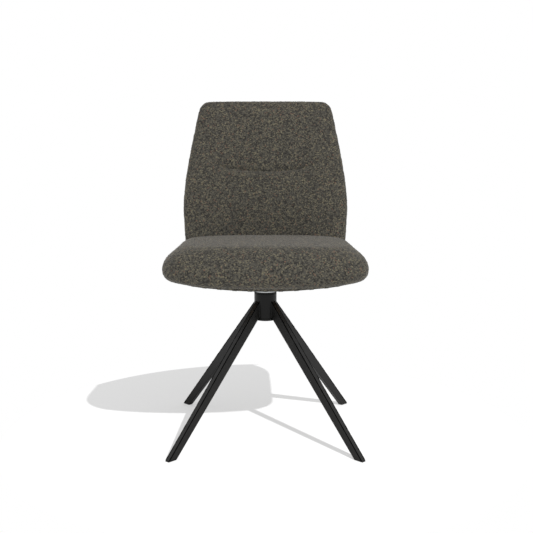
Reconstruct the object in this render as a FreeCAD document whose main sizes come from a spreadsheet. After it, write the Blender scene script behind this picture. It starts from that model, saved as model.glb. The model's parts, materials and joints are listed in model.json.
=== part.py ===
import FreeCAD, Part
import Sketcher
import math
import os

# Swivel dining chair: an upholstered seat and back that turn on a four-legged steel base.
# The origin is on the floor under the swivel axis. +Z is up and the sitter faces -Y.
# All lengths are in millimetres and all angles in degrees.

doc = FreeCAD.newDocument("swivel_dining_chair")
sheet = doc.addObject("Spreadsheet::Sheet", "Sizes")

# The driving dimensions, each with its own name
sizes = {
    # Base
    "column_radius": 28.2,  # outer radius of the base column
    "column_wall": 3.0,  # wall of the column tube
    "column_height": 291.0,  # height of the column's lower end above the floor
    "tube_length": 61.0,  # length of the column tube between its two end pieces
    "cap_flange": 6.5,  # height of the cap's rim under the tube
    "cap_floor": 3.0,  # thickness of the cap's floor
    "cap_wall": 3.0,  # wall of the cap's plug
    "cap_plug": 8.0,  # height of the cap's plug inside the tube
    "cap_rounding": 2.5,  # rounding of the column's lower edge
    "bush_flange": 4.5,  # height of the upper bush's rim on the tube
    "bush_length": 20.0,  # length of each bush inside the tube
    "lower_bush_lift": 14.0,  # height of the lower bush above the tube's lower end
    "joint_chamfer": 0.5,  # chamfer at the joint lines of the column
    "press_gap": 0.1,  # radial gap of a piece pressed into another
    "running_gap": 0.05,  # radial gap of the spindle in its bushes
    "washer_seat_radius": 24.0,  # radius of the recess for the thrust washer
    "washer_seat_depth": 1.5,  # depth of the recess for the thrust washer
    "thrust_stand": 0.1,  # how far the thrust washer stands out of its recess
    "leg_thickness": 13.5,  # thickness of a leg across its flat sides
    "leg_wall": 1.5,  # sheet thickness of a leg
    "leg_edge_rounding": 1.4,  # rounding of a leg's long edges
    "foot_radius": 324.4,  # distance of a leg's outer edge from the axis at the floor
    "foot_depth": 24.6,  # depth of a leg at the floor, measured along the floor
    "leg_top_height": 42.3,  # height above the tube's lower end where a leg's outer edge meets it
    "leg_root_height": 1.3,  # height above the tube's lower end where a leg's inner edge meets it
    "leg_azimuth": 45.0,  # angle of the legs from the chair's sides
    "glide_height": 3.0,  # thickness of the glide under a leg
    "glide_inset": 0.6,  # how far the glide stays inside the leg's outline
    "glide_plug": 16.0,  # height of the glide's plug inside the leg
    # Swivel
    "spindle_radius": 12.5,  # radius of the spindle in its bushes
    "thread_radius": 8.0,  # radius of the spindle's threaded end
    "thread_chamfer": 1.0,  # chamfer at the end of the spindle's thread
    "thread_tail": 2.0,  # length of thread that shows under the lock nut
    "axial_play": 0.3,  # play between the retaining washer and the lower bush
    "retaining_washer_radius": 19.0,  # radius of the retaining washer
    "retaining_washer_thickness": 2.5,  # thickness of the retaining washer
    "lock_nut_radius": 13.8,  # radius of the lock nut over its corners
    "lock_nut_height": 7.5,  # height of the lock nut
    "ring_gap": 0.2,  # gap between the bearing ring and the upper bush
    "ring_height": 4.8,  # height of the bright bearing ring
    "ring_rounding": 0.6,  # rounding of the bearing ring's edges
    "hub_height": 10.5,  # height of the hub between the bearing ring and the plate
    "hub_radius": 25.0,  # radius of the hub on the bearing ring
    "hub_flare": 9.0,  # how much wider the hub is under the plate
    "hub_rim": 4.2,  # height of the hub's straight rim on the bearing ring
    "plate_half_width": 74.0,  # half the side of the square mounting plate
    "plate_thickness": 4.0,  # thickness of the mounting plate
    "plate_corner": 20.0,  # corner radius of the mounting plate
    "bolt_offset": 55.0,  # distance of the plate bolts from the axis, along X and along Y
    "bolt_radius": 4.0,  # radius of a bolt's shank
    "bolt_head_radius": 7.0,  # radius of a bolt's head
    "bolt_head_height": 4.2,  # height of a bolt's head
    "bolt_rim": 1.0,  # height of the straight rim of a bolt's head
    "bolt_top_radius": 3.9,  # radius of the flat on top of a bolt's head
    "socket_depth": 2.5,  # depth of the hexagon socket in a bolt's head
    "socket_radius": 2.9,  # radius over the corners of the hexagon socket in a bolt's head
    "hole_gap": 0.4,  # radial gap of a bolt in its hole
    "insert_radius": 5.5,  # outer radius of a threaded insert's barrel
    "insert_flange_radius": 11.0,  # radius of a threaded insert's flange
    "insert_flange": 1.4,  # thickness of a threaded insert's flange
    # Seat
    "block_half_width": 86.0,  # half the side of the square packing block
    "block_corner": 14.0,  # corner radius of the packing block
    "block_middle": 3.5,  # thickness of the packing block on the axis
    "dish_across": 1110.0,  # radius of the pan's dished underside across the chair
    "dish_along": 1500.0,  # radius of the pan's dished underside from front to rear
    "pan_thickness": 12.0,  # thickness of the seat pan
    "seat_front": 312.0,  # distance of the seat's front from the axis
    "seat_rear": 149.0,  # distance of the seat's rear from the axis
    "seat_half_width": 235.8,  # half the width of the seat across its front corners
    "seat_rear_half_width": 224.0,  # half the width of the seat across its rear corners
    "seat_bow": 675.0,  # radius of the seat's bowed front
    "seat_front_corner": 78.0,  # radius of the seat's front corners in plan
    "seat_rear_corner": 112.0,  # radius of the seat's rear corners in plan
    "seat_belt_height": 61.0,  # height of the seat cushion's widest part above the pan's lowest point
    "seat_rise": 61.0,  # height of the cushion's dome above its widest part
    "seat_shoulder": 100.0,  # width of the dome's shoulder at the front and sides
    "seat_rear_shoulder": 62.0,  # width of the dome's shoulder at the rear
    "seat_tuck_depth": 30.0,  # height of the tucked-in part under the widest part
    "seat_tuck": 34.0,  # how far the cushion is tucked in at the front and sides
    "seat_rear_tuck": 14.0,  # how far the cushion is tucked in at the rear
    "cover_wrap": 4.0,  # thickness of foam and cover round the pan's edge
    "crown_height": 117.0,  # height of the seat's highest point above the pan's lowest point
    "crown_forward": 200.0,  # distance of the highest point of the seat in front of the axis
    "crown_radius": 3800.0,  # radius of the seat's nearly flat top
    "dust_cover_thickness": 1.0,  # thickness of the dust cover under the seat
    "dust_cover_inset": 10.0,  # how far the dust cover stays inside the pan's edge
    "dust_cover_opening": 118.5,  # half the width of the dust cover's opening
    "dust_cover_front_opening": 92.0,  # how far the opening reaches in front of the axis
    "sheet_gap": 0.2,  # gap between the dust cover and the pan
    # Back
    "back_lean": 13.9,  # lean of the back from upright
    "back_base_height": 26.0,  # height of the back's lower end above the pan's lowest point
    "back_base_rear": 186.2,  # distance of the board's lower end behind the axis
    "back_length": 449.0,  # length of the back along its lean
    "back_belly": 223.0,  # half the width of the back at its widest part
    "back_belly_up": 168.0,  # distance of the widest part above the back's lower end
    "back_top_half_width": 184.5,  # half the width of the back below its top corners
    "back_foot_half_width": 213.0,  # half the width of the back above its lower corners
    "back_top_corner": 23.0,  # radius of the back's top corners
    "back_foot_corner": 34.0,  # radius of the back's lower corners
    "board_thickness": 10.0,  # thickness of the bent back board
    "board_bend": 2400.0,  # radius to which the back board is bent
    "board_inset": 13.0,  # how far the board stays inside the back's outline
    "rear_pad": 12.0,  # thickness of the padding behind the board
    "front_pad_foot": 26.0,  # thickness of the front padding at the lower end
    "front_pad_belly": 41.0,  # thickness of the front padding at the lumbar bulge
    "front_pad_middle": 36.0,  # thickness of the front padding above the crease
    "front_pad_top": 23.0,  # thickness of the front padding at the top
    "back_front_edge": 20.0,  # rounding of the back's front edges
    "back_rear_edge": 9.0,  # rounding of the back's rear edges
    "front_crown": 4.0,  # how much the front of the back is crowned across its width
    "crease_up": 248.0,  # distance of the crease's middle above the back's lower end
    "crease_radius": 536.0,  # radius of the smile-shaped crease
    "crease_tube": 9.0,  # radius of the groove that draws the crease
    "crease_depth": 5.0,  # depth of the crease in its middle
    # The two steel brackets that carry the back
    "bracket_offset": 105.0,  # distance of a bracket's middle from the chair's middle
    "bracket_width": 26.0,  # width of a bracket
    "bracket_thickness": 5.0,  # thickness of a bracket
    "bracket_start": 42.0,  # distance of a bracket's front end behind the axis
    "bracket_touch": 100.0,  # distance behind the axis where a bracket lies on the pan
    "bracket_reach_up": 150.0,  # length of a bracket inside the back
    "bracket_bend": 14.0,  # inner radius of a bracket's bend
    "bracket_bolt_step": 34.0,  # distance between the two bolts under the pan
    "bracket_first_bolt": 66.0,  # distance of the first bolt under the pan behind the axis
    "board_bolt_low": 62.0,  # height of the lower bolt in the board above the back's lower end
    "board_bolt_step": 60.0,  # distance between the two bolts in the board
    "seat_gap": 0.3,  # gap between a bracket and the piece that it lies on
}
for row, (alias, amount) in enumerate(sizes.items(), start=1):
    sheet.set("A%d" % row, alias.replace("_", " "))
    sheet.set("B%d" % row, str(amount))
    sheet.setAlias("B%d" % row, alias)
doc.recompute()


def value(alias):
    """The number in the cell with this alias."""
    return float(sheet.get(alias))


# Heights and slopes that follow from the driving dimensions
levels = doc.addObject("App::VarSet", "Levels")


def level(name, expression):
    """A length or slope worked out from the sheet, for sketches and for code alike."""
    levels.addProperty("App::PropertyFloat", name, "Levels")
    levels.setExpression(name, expression)
    doc.recompute()


level("tube_bottom", "Sizes.column_height + Sizes.cap_flange")
level("tube_top", "Levels.tube_bottom + Sizes.tube_length")
level("bush_top", "Levels.tube_top + Sizes.bush_flange")
level("tube_bore", "Sizes.column_radius - Sizes.column_wall")
level("plug_radius", "Levels.tube_bore - Sizes.press_gap")
level("spindle_bore", "Sizes.spindle_radius + Sizes.running_gap")
level("lower_bush_bottom", "Levels.tube_bottom + Sizes.lower_bush_lift")
level("shoulder", "Levels.lower_bush_bottom - Sizes.axial_play")
level("nut_top", "Levels.shoulder - Sizes.retaining_washer_thickness")
level("nut_bottom", "Levels.nut_top - Sizes.lock_nut_height")
level("spindle_bottom", "Levels.nut_bottom - Sizes.thread_tail")
level("washer_floor", "Levels.bush_top - Sizes.washer_seat_depth")
level("washer_top", "Levels.bush_top + Sizes.thrust_stand")
level("ring_bottom", "Levels.bush_top + Sizes.ring_gap")
level("ring_top", "Levels.ring_bottom + Sizes.ring_height")
level("plate_bottom", "Levels.ring_top + Sizes.hub_height")
level("plate_top", "Levels.plate_bottom + Sizes.plate_thickness")
level("dish_bottom", "Levels.plate_top + Sizes.block_middle")
level("belt", "Levels.dish_bottom + Sizes.seat_belt_height")
level("seat_top", "Levels.dish_bottom + Sizes.crown_height")
level("back_foot", "Levels.dish_bottom + Sizes.back_base_height")
level("leg_top", "Levels.tube_bottom + Sizes.leg_top_height")
level("leg_root", "Levels.tube_bottom + Sizes.leg_root_height")
level("outer_slope", "(Sizes.foot_radius - Sizes.column_radius) / Levels.leg_top")
level("foot_inner", "Sizes.foot_radius - Sizes.foot_depth")
level("inner_slope", "(Levels.foot_inner - Sizes.column_radius) / Levels.leg_root")
level("outer_wall", "Sizes.leg_wall * sqrt(1 + Levels.outer_slope ^ 2)")
level("inner_wall", "Sizes.leg_wall * sqrt(1 + Levels.inner_slope ^ 2)")


def new_body(name):
    body = doc.addObject("PartDesign::Body", name)
    body.Label = name
    return body


def sketch_on(body, role, name, offset=None):
    """A sketch on one of the body's own origin planes, moved along its normal."""
    planes = [feature for feature in body.Origin.OriginFeatures if feature.Role == role]
    sketch = body.newObject("Sketcher::SketchObject", body.Name + "_" + name)
    sketch.AttachmentSupport = [(planes[0], "")]
    sketch.MapMode = "FlatFace"
    if offset:
        sketch.setExpression("AttachmentOffset.Base.z", offset)
    return sketch


def bind(sketch, kind, geometry, point, expression):
    """Ties one coordinate of a sketch point to an expression."""
    index = sketch.addConstraint(Sketcher.Constraint(kind, -1, 1, geometry, point, 1.0))
    sketch.setExpression("Constraints[%d]" % index, expression)


def outline(sketch, corners):
    """A closed run of straight lines; each corner is a pair of expressions."""
    count = len(corners)
    turns = [2 * math.pi * number / count for number in range(count)]
    start = [FreeCAD.Vector(math.cos(turn), math.sin(turn), 0) for turn in turns]
    first = sketch.GeometryCount
    for number in range(count):
        line = Part.LineSegment(start[number], start[(number + 1) % count])
        sketch.addGeometry(line, False)
    for number in range(count):
        following = first + (number + 1) % count
        sketch.addConstraint(Sketcher.Constraint("Coincident", first + number, 2, following, 1))
    for number, (across, along) in enumerate(corners):
        bind(sketch, "DistanceX", first + number, 1, across)
        bind(sketch, "DistanceY", first + number, 1, along)


def circle(sketch, radius, across="0", along="0"):
    """A circle whose radius and centre are expressions."""
    number = sketch.addGeometry(Part.Circle(FreeCAD.Vector(1, 1, 0), FreeCAD.Vector(0, 0, 1), 1), False)
    index = sketch.addConstraint(Sketcher.Constraint("Radius", number, 1.0))
    sketch.setExpression("Constraints[%d]" % index, radius)
    bind(sketch, "DistanceX", number, 3, across)
    bind(sketch, "DistanceY", number, 3, along)


def extrude(body, kind, sketch, length, symmetric=False):
    """A Pad or a Pocket of a sketch."""
    feature = body.newObject("PartDesign::" + kind, sketch.Name + "_" + kind)
    feature.Profile = sketch
    feature.setExpression("Length", length)
    if symmetric:
        feature.SideType = "Symmetric"
    sketch.Visibility = False
    doc.recompute()
    return feature


def turn(body, corners):
    """A turned piece: its half section, as radius and height, revolved about the axis."""
    sketch = sketch_on(body, "XZ_Plane", "section")
    outline(sketch, corners)
    feature = body.newObject("PartDesign::Revolution", body.Name + "_turned")
    feature.Profile = sketch
    feature.ReferenceAxis = (sketch, ["V_Axis"])
    feature.Angle = 360
    doc.recompute()
    return feature


def edges_of(feature, wanted):
    """Names of the edges of a feature that pass a test."""
    numbered = enumerate(feature.Shape.Edges, start=1)
    return ["Edge%d" % number for number, edge in numbered if wanted(edge)]


def dress(body, kind, feature, wanted, amount):
    """A Fillet or a Chamfer on the edges that pass a test."""
    names = edges_of(feature, wanted)
    if not names:
        raise ValueError("no edge to dress on " + body.Name)
    dressed = body.newObject("PartDesign::" + kind, body.Name + "_" + kind)
    dressed.Base = (feature, names)
    dressed.setExpression("Radius" if kind == "Fillet" else "Size", amount)
    doc.recompute()
    return dressed


def is_ring(radius, height=None):
    """A test for a circular edge of this radius, at this height if one is given."""
    def wanted(edge):
        if not isinstance(edge.Curve, Part.Circle) or abs(edge.Curve.Radius - radius) > 1e-3:
            return False
        return height is None or abs(edge.Curve.Center.z - height) < 1e-3
    return wanted


def is_upright(edge):
    """A test for a straight edge that runs along Z."""
    ends = [vertex.Point for vertex in edge.Vertexes]
    if len(ends) < 2 or not isinstance(edge.Curve, Part.Line):
        return False
    run = ends[1].sub(ends[0])
    return abs(run.x) < 1e-6 and abs(run.y) < 1e-6


def plain_feature(name, shape):
    """A piece whose form no feature fits; its sizes come from the sheet in the code below."""
    piece = doc.addObject("Part::Feature", name)
    piece.Label = name
    piece.Shape = shape
    return piece


# Column tube: a length of round steel tube that the legs are welded to
column_radius = value("column_radius")
column_tube = new_body("column_tube")
section = sketch_on(column_tube, "XY_Plane", "section", "Levels.tube_bottom")
circle(section, "Sizes.column_radius")
circle(section, "Levels.tube_bore")
tube = extrude(column_tube, "Pad", section, "Sizes.tube_length")
dress(column_tube, "Chamfer", tube, is_ring(column_radius), "Sizes.joint_chamfer")

# Column cap: a moulded cup that closes the tube from below, as wide as the tube
column_cap = new_body("column_cap")
cup = turn(column_cap, [
    ("0", "Sizes.column_height"),
    ("Sizes.column_radius", "Sizes.column_height"),
    ("Sizes.column_radius", "Levels.tube_bottom"),
    ("Levels.plug_radius", "Levels.tube_bottom"),
    ("Levels.plug_radius", "Levels.tube_bottom + Sizes.cap_plug"),
    ("Levels.plug_radius - Sizes.cap_wall", "Levels.tube_bottom + Sizes.cap_plug"),
    ("Levels.plug_radius - Sizes.cap_wall", "Sizes.column_height + Sizes.cap_floor"),
    ("0", "Sizes.column_height + Sizes.cap_floor"),
])
cap_edge = is_ring(column_radius, value("column_height"))
dress(column_cap, "Fillet", cup, cap_edge, "Sizes.cap_rounding")

# Upper bush: a moulded bearing with a rim on the tube and a recess for the thrust washer
upper_bush = new_body("upper_bush")
rimmed = turn(upper_bush, [
    ("Levels.spindle_bore", "Levels.tube_top - Sizes.bush_length"),
    ("Levels.plug_radius", "Levels.tube_top - Sizes.bush_length"),
    ("Levels.plug_radius", "Levels.tube_top"),
    ("Sizes.column_radius", "Levels.tube_top"),
    ("Sizes.column_radius", "Levels.bush_top"),
    ("Sizes.washer_seat_radius", "Levels.bush_top"),
    ("Sizes.washer_seat_radius", "Levels.washer_floor"),
    ("Levels.spindle_bore", "Levels.washer_floor"),
])
dress(upper_bush, "Chamfer", rimmed, is_ring(column_radius), "Sizes.joint_chamfer")

# Lower bush: a plain moulded bearing
lower_bush = new_body("lower_bush")
section = sketch_on(lower_bush, "XY_Plane", "section", "Levels.lower_bush_bottom")
circle(section, "Levels.plug_radius")
circle(section, "Levels.spindle_bore")
extrude(lower_bush, "Pad", section, "Sizes.bush_length")

# Thrust washer: carries the weight of the seat on the upper bush
thrust_washer = new_body("thrust_washer")
section = sketch_on(thrust_washer, "XY_Plane", "section", "Levels.washer_floor")
circle(section, "Sizes.washer_seat_radius - 2 * Sizes.press_gap")
circle(section, "Levels.spindle_bore")
extrude(thrust_washer, "Pad", section, "Levels.washer_top - Levels.washer_floor")


def leg_lines(outer_shift, inner_shift, low, high=None):
    """Corners between a leg's two edges, shifted inwards, from a low height upwards.

    The edges run on into the column's space unless a height stops them.
    """
    outer = "(Sizes.foot_radius - %s)" % outer_shift
    inner = "(Levels.foot_inner + %s)" % inner_shift
    corners = [
        (outer + " - Levels.outer_slope * " + low, low),
        (inner + " - Levels.inner_slope * " + low, low),
    ]
    if high:
        corners.append((inner + " - Levels.inner_slope * " + high, high))
        corners.append((outer + " - Levels.outer_slope * " + high, high))
    else:
        root = "Levels.tube_bore"
        corners.append((root, "(%s - %s) / Levels.inner_slope" % (inner, root)))
        corners.append((root, "(%s - %s) / Levels.outer_slope" % (outer, root)))
    return corners


def make_leg(name, azimuth):
    """A leg: a tapered steel box section, cut to the floor below and to the column above."""
    leg = new_body(name)
    side = sketch_on(leg, "XZ_Plane", "side")
    outline(side, leg_lines("0", "0", "Sizes.glide_height"))
    solid = extrude(leg, "Pad", side, "Sizes.leg_thickness", symmetric=True)
    long_edge = lambda edge: edge.Length > levels.leg_root
    rounded = dress(leg, "Fillet", solid, long_edge, "Sizes.leg_edge_rounding")
    hollow = sketch_on(leg, "XZ_Plane", "hollow")
    outline(hollow, leg_lines("Levels.outer_wall", "Levels.inner_wall", "0"))
    inside = "Sizes.leg_thickness - 2 * Sizes.leg_wall"
    emptied = extrude(leg, "Pocket", hollow, inside, symmetric=True)
    mouth = sketch_on(leg, "XY_Plane", "column")
    circle(mouth, "Sizes.column_radius")
    fitted = extrude(leg, "Pocket", mouth, "4 * Levels.bush_top", symmetric=True)
    if not fitted.Shape.Volume < emptied.Shape.Volume < rounded.Shape.Volume:
        raise ValueError("a pocket of " + name + " cut nothing")
    leg.setExpression("Placement.Rotation.Angle", azimuth)
    leg.Placement.Rotation.Axis = FreeCAD.Vector(0, 0, 1)
    return leg


def make_glide(name, azimuth):
    """A glide: a moulded sole under a leg, with a plug that fills the leg's end."""
    glide = new_body(name)
    sole = sketch_on(glide, "XZ_Plane", "sole")
    inset = "Sizes.glide_inset"
    outline(sole, leg_lines(inset, inset, "0", "Sizes.glide_height"))
    extrude(glide, "Pad", sole, "Sizes.leg_thickness - 2 * Sizes.glide_inset", symmetric=True)
    plug = sketch_on(glide, "XZ_Plane", "plug")
    gap = "Sizes.press_gap"
    outer = "(Levels.outer_wall + %s)" % gap
    inner = "(Levels.inner_wall + %s)" % gap
    top = "(Sizes.glide_height + Sizes.glide_plug)"
    outline(plug, leg_lines(outer, inner, "Sizes.glide_height", top))
    width = "Sizes.leg_thickness - 2 * Sizes.leg_wall - 2 * Sizes.press_gap"
    extrude(glide, "Pad", plug, width, symmetric=True)
    glide.setExpression("Placement.Rotation.Angle", azimuth)
    glide.Placement.Rotation.Axis = FreeCAD.Vector(0, 0, 1)
    return glide


corner_angles = {
    "rear_right": "Sizes.leg_azimuth",
    "rear_left": "180 - Sizes.leg_azimuth",
    "front_left": "180 + Sizes.leg_azimuth",
    "front_right": "360 - Sizes.leg_azimuth",
}
for corner, angle in corner_angles.items():
    make_leg("leg_" + corner, angle)
    make_glide("foot_glide_" + corner, angle)

# Spindle: a turned steel pin from the mounting plate down through both bushes
swivel_spindle = new_body("swivel_spindle")
pin = turn(swivel_spindle, [
    ("0", "Levels.spindle_bottom"),
    ("Sizes.thread_radius", "Levels.spindle_bottom"),
    ("Sizes.thread_radius", "Levels.shoulder"),
    ("Sizes.spindle_radius", "Levels.shoulder"),
    ("Sizes.spindle_radius", "Levels.plate_top"),
    ("0", "Levels.plate_top"),
])
pin_end = is_ring(value("thread_radius"), levels.spindle_bottom)
dress(swivel_spindle, "Chamfer", pin, pin_end, "Sizes.thread_chamfer")

# Retaining washer: keeps the spindle from lifting out of the lower bush
retaining_washer = new_body("retaining_washer")
section = sketch_on(retaining_washer, "XY_Plane", "section", "Levels.nut_top")
circle(section, "Sizes.retaining_washer_radius")
circle(section, "Sizes.thread_radius + Sizes.press_gap")
extrude(retaining_washer, "Pad", section, "Sizes.retaining_washer_thickness")

# Lock nut under the retaining washer
nut_blank = doc.addObject("Part::Prism", "nut_blank")
nut_blank.Polygon = 6
nut_blank.setExpression("Circumradius", "Sizes.lock_nut_radius")
nut_blank.setExpression("Height", "Sizes.lock_nut_height")
nut_blank.setExpression("Placement.Base.z", "Levels.nut_bottom")
nut_bore = doc.addObject("Part::Cylinder", "nut_bore")
nut_bore.setExpression("Radius", "Sizes.thread_radius + Sizes.press_gap")
nut_bore.setExpression("Height", "Sizes.lock_nut_height")
nut_bore.setExpression("Placement.Base.z", "Levels.nut_bottom")
lock_nut = doc.addObject("Part::Cut", "lock_nut")
lock_nut.Base = nut_blank
lock_nut.Tool = nut_bore

# Bearing ring: the bright ring that turns with the seat on top of the column
bearing_ring = new_body("bearing_ring")
section = sketch_on(bearing_ring, "XY_Plane", "section", "Levels.ring_bottom")
circle(section, "Sizes.column_radius")
circle(section, "Sizes.spindle_radius + Sizes.press_gap")
ring = extrude(bearing_ring, "Pad", section, "Sizes.ring_height")
dress(bearing_ring, "Fillet", ring, is_ring(column_radius), "Sizes.ring_rounding")

# Hub: a turned collar that flares out to the mounting plate
plate_hub = new_body("plate_hub")
turn(plate_hub, [
    ("Sizes.spindle_radius + Sizes.press_gap", "Levels.ring_top"),
    ("Sizes.hub_radius", "Levels.ring_top"),
    ("Sizes.hub_radius", "Levels.ring_top + Sizes.hub_rim"),
    ("Sizes.hub_radius + Sizes.hub_flare", "Levels.plate_bottom"),
    ("Sizes.spindle_radius + Sizes.press_gap", "Levels.plate_bottom"),
])


def square(sketch, half):
    """A square about the axis."""
    outline(sketch, [("-" + half, "-" + half), (half, "-" + half), (half, half), ("-" + half, half)])


def four_holes(body, bottom, depth, radius):
    """A hole at one plate bolt, repeated at the other three."""
    sketch = sketch_on(body, "XY_Plane", "hole", bottom)
    circle(sketch, radius, "Sizes.bolt_offset", "Sizes.bolt_offset")
    before = body.Tip.Shape.Volume
    hole = extrude(body, "Pocket", sketch, depth)
    hole.Reversed = True
    doc.recompute()
    if not hole.Shape.Volume < before:
        raise ValueError("a hole of " + body.Name + " cut nothing")
    pattern = body.newObject("PartDesign::PolarPattern", body.Name + "_holes")
    pattern.Originals = [hole]
    pattern.Axis = (sketch, ["N_Axis"])
    pattern.Angle = 360
    pattern.Occurrences = 4
    body.Tip = pattern
    doc.recompute()


# Mounting plate: a square of steel, welded to the hub and bolted up into the seat
mounting_plate = new_body("mounting_plate")
section = sketch_on(mounting_plate, "XY_Plane", "section", "Levels.plate_bottom")
square(section, "Sizes.plate_half_width")
circle(section, "Sizes.spindle_radius + Sizes.press_gap")
blank = extrude(mounting_plate, "Pad", section, "Sizes.plate_thickness")
dress(mounting_plate, "Fillet", blank, is_upright, "Sizes.plate_corner")
hole_radius = "Sizes.bolt_radius + Sizes.hole_gap"
four_holes(mounting_plate, "Levels.plate_bottom", "Sizes.plate_thickness", hole_radius)

# Packing block: plywood between the flat plate and the dished pan, hollowed to the dish
block_blank = new_body("block_blank")
section = sketch_on(block_blank, "XY_Plane", "section", "Levels.plate_top")
square(section, "Sizes.block_half_width")
block_height = "2 * Sizes.block_middle + Sizes.block_half_width ^ 2 / Sizes.dish_across"
blank = extrude(block_blank, "Pad", section, block_height)
dress(block_blank, "Fillet", blank, is_upright, "Sizes.block_corner")
four_holes(block_blank, "Levels.plate_top", block_height, hole_radius)

dish_bottom = levels.dish_bottom
dish_across = value("dish_across")
dish_along = value("dish_along")
pan_thickness = value("pan_thickness")
seat_front = value("seat_front")
dish_reach = seat_front + value("seat_tuck")
seat_half = value("seat_half_width")
belt = levels.belt
sideways = FreeCAD.Vector(1, 0, 0)


def dish_rise(across, lift):
    """How far the lifted underside has risen at a distance from the middle line."""
    radius = dish_across - lift
    return lift + radius - math.sqrt(radius ** 2 - across ** 2)


def dish_height(across, along, lift=0.0):
    """Height of the lifted underside at a place in plan."""
    reach = dish_along - dish_rise(across, lift)
    return dish_bottom + dish_along - math.sqrt(reach ** 2 - along ** 2)


def dish(lift=0.0):
    """Everything above the lifted underside: its arc, swung from front to rear."""
    edge = dish_bottom + dish_rise(seat_half, lift)
    top = 2 * belt - dish_bottom
    left_edge = FreeCAD.Vector(-seat_half, 0, edge)
    right_edge = FreeCAD.Vector(seat_half, 0, edge)
    arc = Part.Arc(left_edge, FreeCAD.Vector(0, 0, dish_bottom + lift), right_edge)
    top_right = FreeCAD.Vector(seat_half, 0, top)
    top_left = FreeCAD.Vector(-seat_half, 0, top)
    section = Part.Wire([
        arc.toShape(),
        Part.LineSegment(right_edge, top_right).toShape(),
        Part.LineSegment(top_right, top_left).toShape(),
        Part.LineSegment(top_left, left_edge).toShape(),
    ])
    pivot = FreeCAD.Vector(0, 0, dish_bottom + dish_along)
    swing = math.degrees(math.asin(dish_reach / dish_along))
    face = Part.Face(section)
    face.rotate(pivot, sideways, -swing)
    return face.revolve(pivot, sideways, 2 * swing)


# Packing block, hollowed to the dish
dish_space = doc.addObject("Part::Feature", "dish_space")
dish_space.Shape = dish()
packing_block = doc.addObject("Part::Cut", "packing_block")
packing_block.Base = block_blank
packing_block.Tool = dish_space
doc.recompute()

# Plan of the seat: a bowed front, rounded corners and sides that draw in to the rear
seat_rear = value("seat_rear")
seat_rear_half = value("seat_rear_half_width")
up = FreeCAD.Vector(0, 0, 1)


def arc_between(centre, radius, start, end):
    """An arc of a circle from one point to another, the short way round."""
    middle = (start + end) * 0.5 - centre
    return Part.Arc(start, centre + middle.normalize() * radius, end).toShape()


def seat_outline(height, inset, rear_inset):
    """A level line of the seat, drawn in by one amount all round and another at the rear."""
    front = -seat_front + inset
    rear = seat_rear - rear_inset
    corner = value("seat_front_corner")
    rear_corner = value("seat_rear_corner")
    bow = value("seat_bow")
    taper = (seat_half - seat_rear_half) / (seat_rear + seat_front)
    stretch = math.sqrt(1 + taper ** 2)
    outward = FreeCAD.Vector(1, taper, 0) * (1 / stretch)

    def side(along):
        return seat_half - inset - taper * (along + seat_front)

    bow_centre = FreeCAD.Vector(0, front + bow, height)
    reach = bow - corner
    lean_in = side(0) - corner * stretch
    square_term = 1 + taper ** 2
    linear_term = -taper * lean_in - bow_centre.y
    constant = lean_in ** 2 + bow_centre.y ** 2 - reach ** 2
    along = (-linear_term - math.sqrt(linear_term ** 2 - square_term * constant)) / square_term
    corner_centre = FreeCAD.Vector(side(along) - corner * stretch, along, height)
    rear_along = rear - rear_corner
    rear_centre = FreeCAD.Vector(side(rear_along) - rear_corner * stretch, rear_along, height)

    bow_end = bow_centre + (corner_centre - bow_centre) * (bow / reach)
    side_start = corner_centre + outward * corner
    side_end = rear_centre + outward * rear_corner
    rear_end = FreeCAD.Vector(rear_centre.x, rear, height)

    def mirrored(point):
        return FreeCAD.Vector(-point.x, point.y, point.z)

    return Part.Wire([
        arc_between(bow_centre, bow, mirrored(bow_end), bow_end),
        arc_between(corner_centre, corner, bow_end, side_start),
        Part.LineSegment(side_start, side_end).toShape(),
        arc_between(rear_centre, rear_corner, side_end, rear_end),
        Part.LineSegment(rear_end, mirrored(rear_end)).toShape(),
        arc_between(mirrored(rear_centre), rear_corner, mirrored(rear_end), mirrored(side_end)),
        Part.LineSegment(mirrored(side_end), mirrored(side_start)).toShape(),
        arc_between(mirrored(corner_centre), corner, mirrored(side_start), mirrored(bow_end)),
    ])


def seat_prism(inset, rear_inset, low, high):
    """An upright prism on the seat's plan."""
    return Part.Face(seat_outline(low, inset, rear_inset)).extrude(up * (high - low))


# Fasteners: a domed bolt with a hexagon socket, and a flanged threaded insert
bolt_radius = value("bolt_radius")
head_radius = value("bolt_head_radius")
head_height = value("bolt_head_height")
insert_radius = value("insert_radius")
flange_radius = value("insert_flange_radius")
flange_thickness = value("insert_flange")
hole_gap = value("hole_gap")
origin = FreeCAD.Vector(0, 0, 0)


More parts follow.
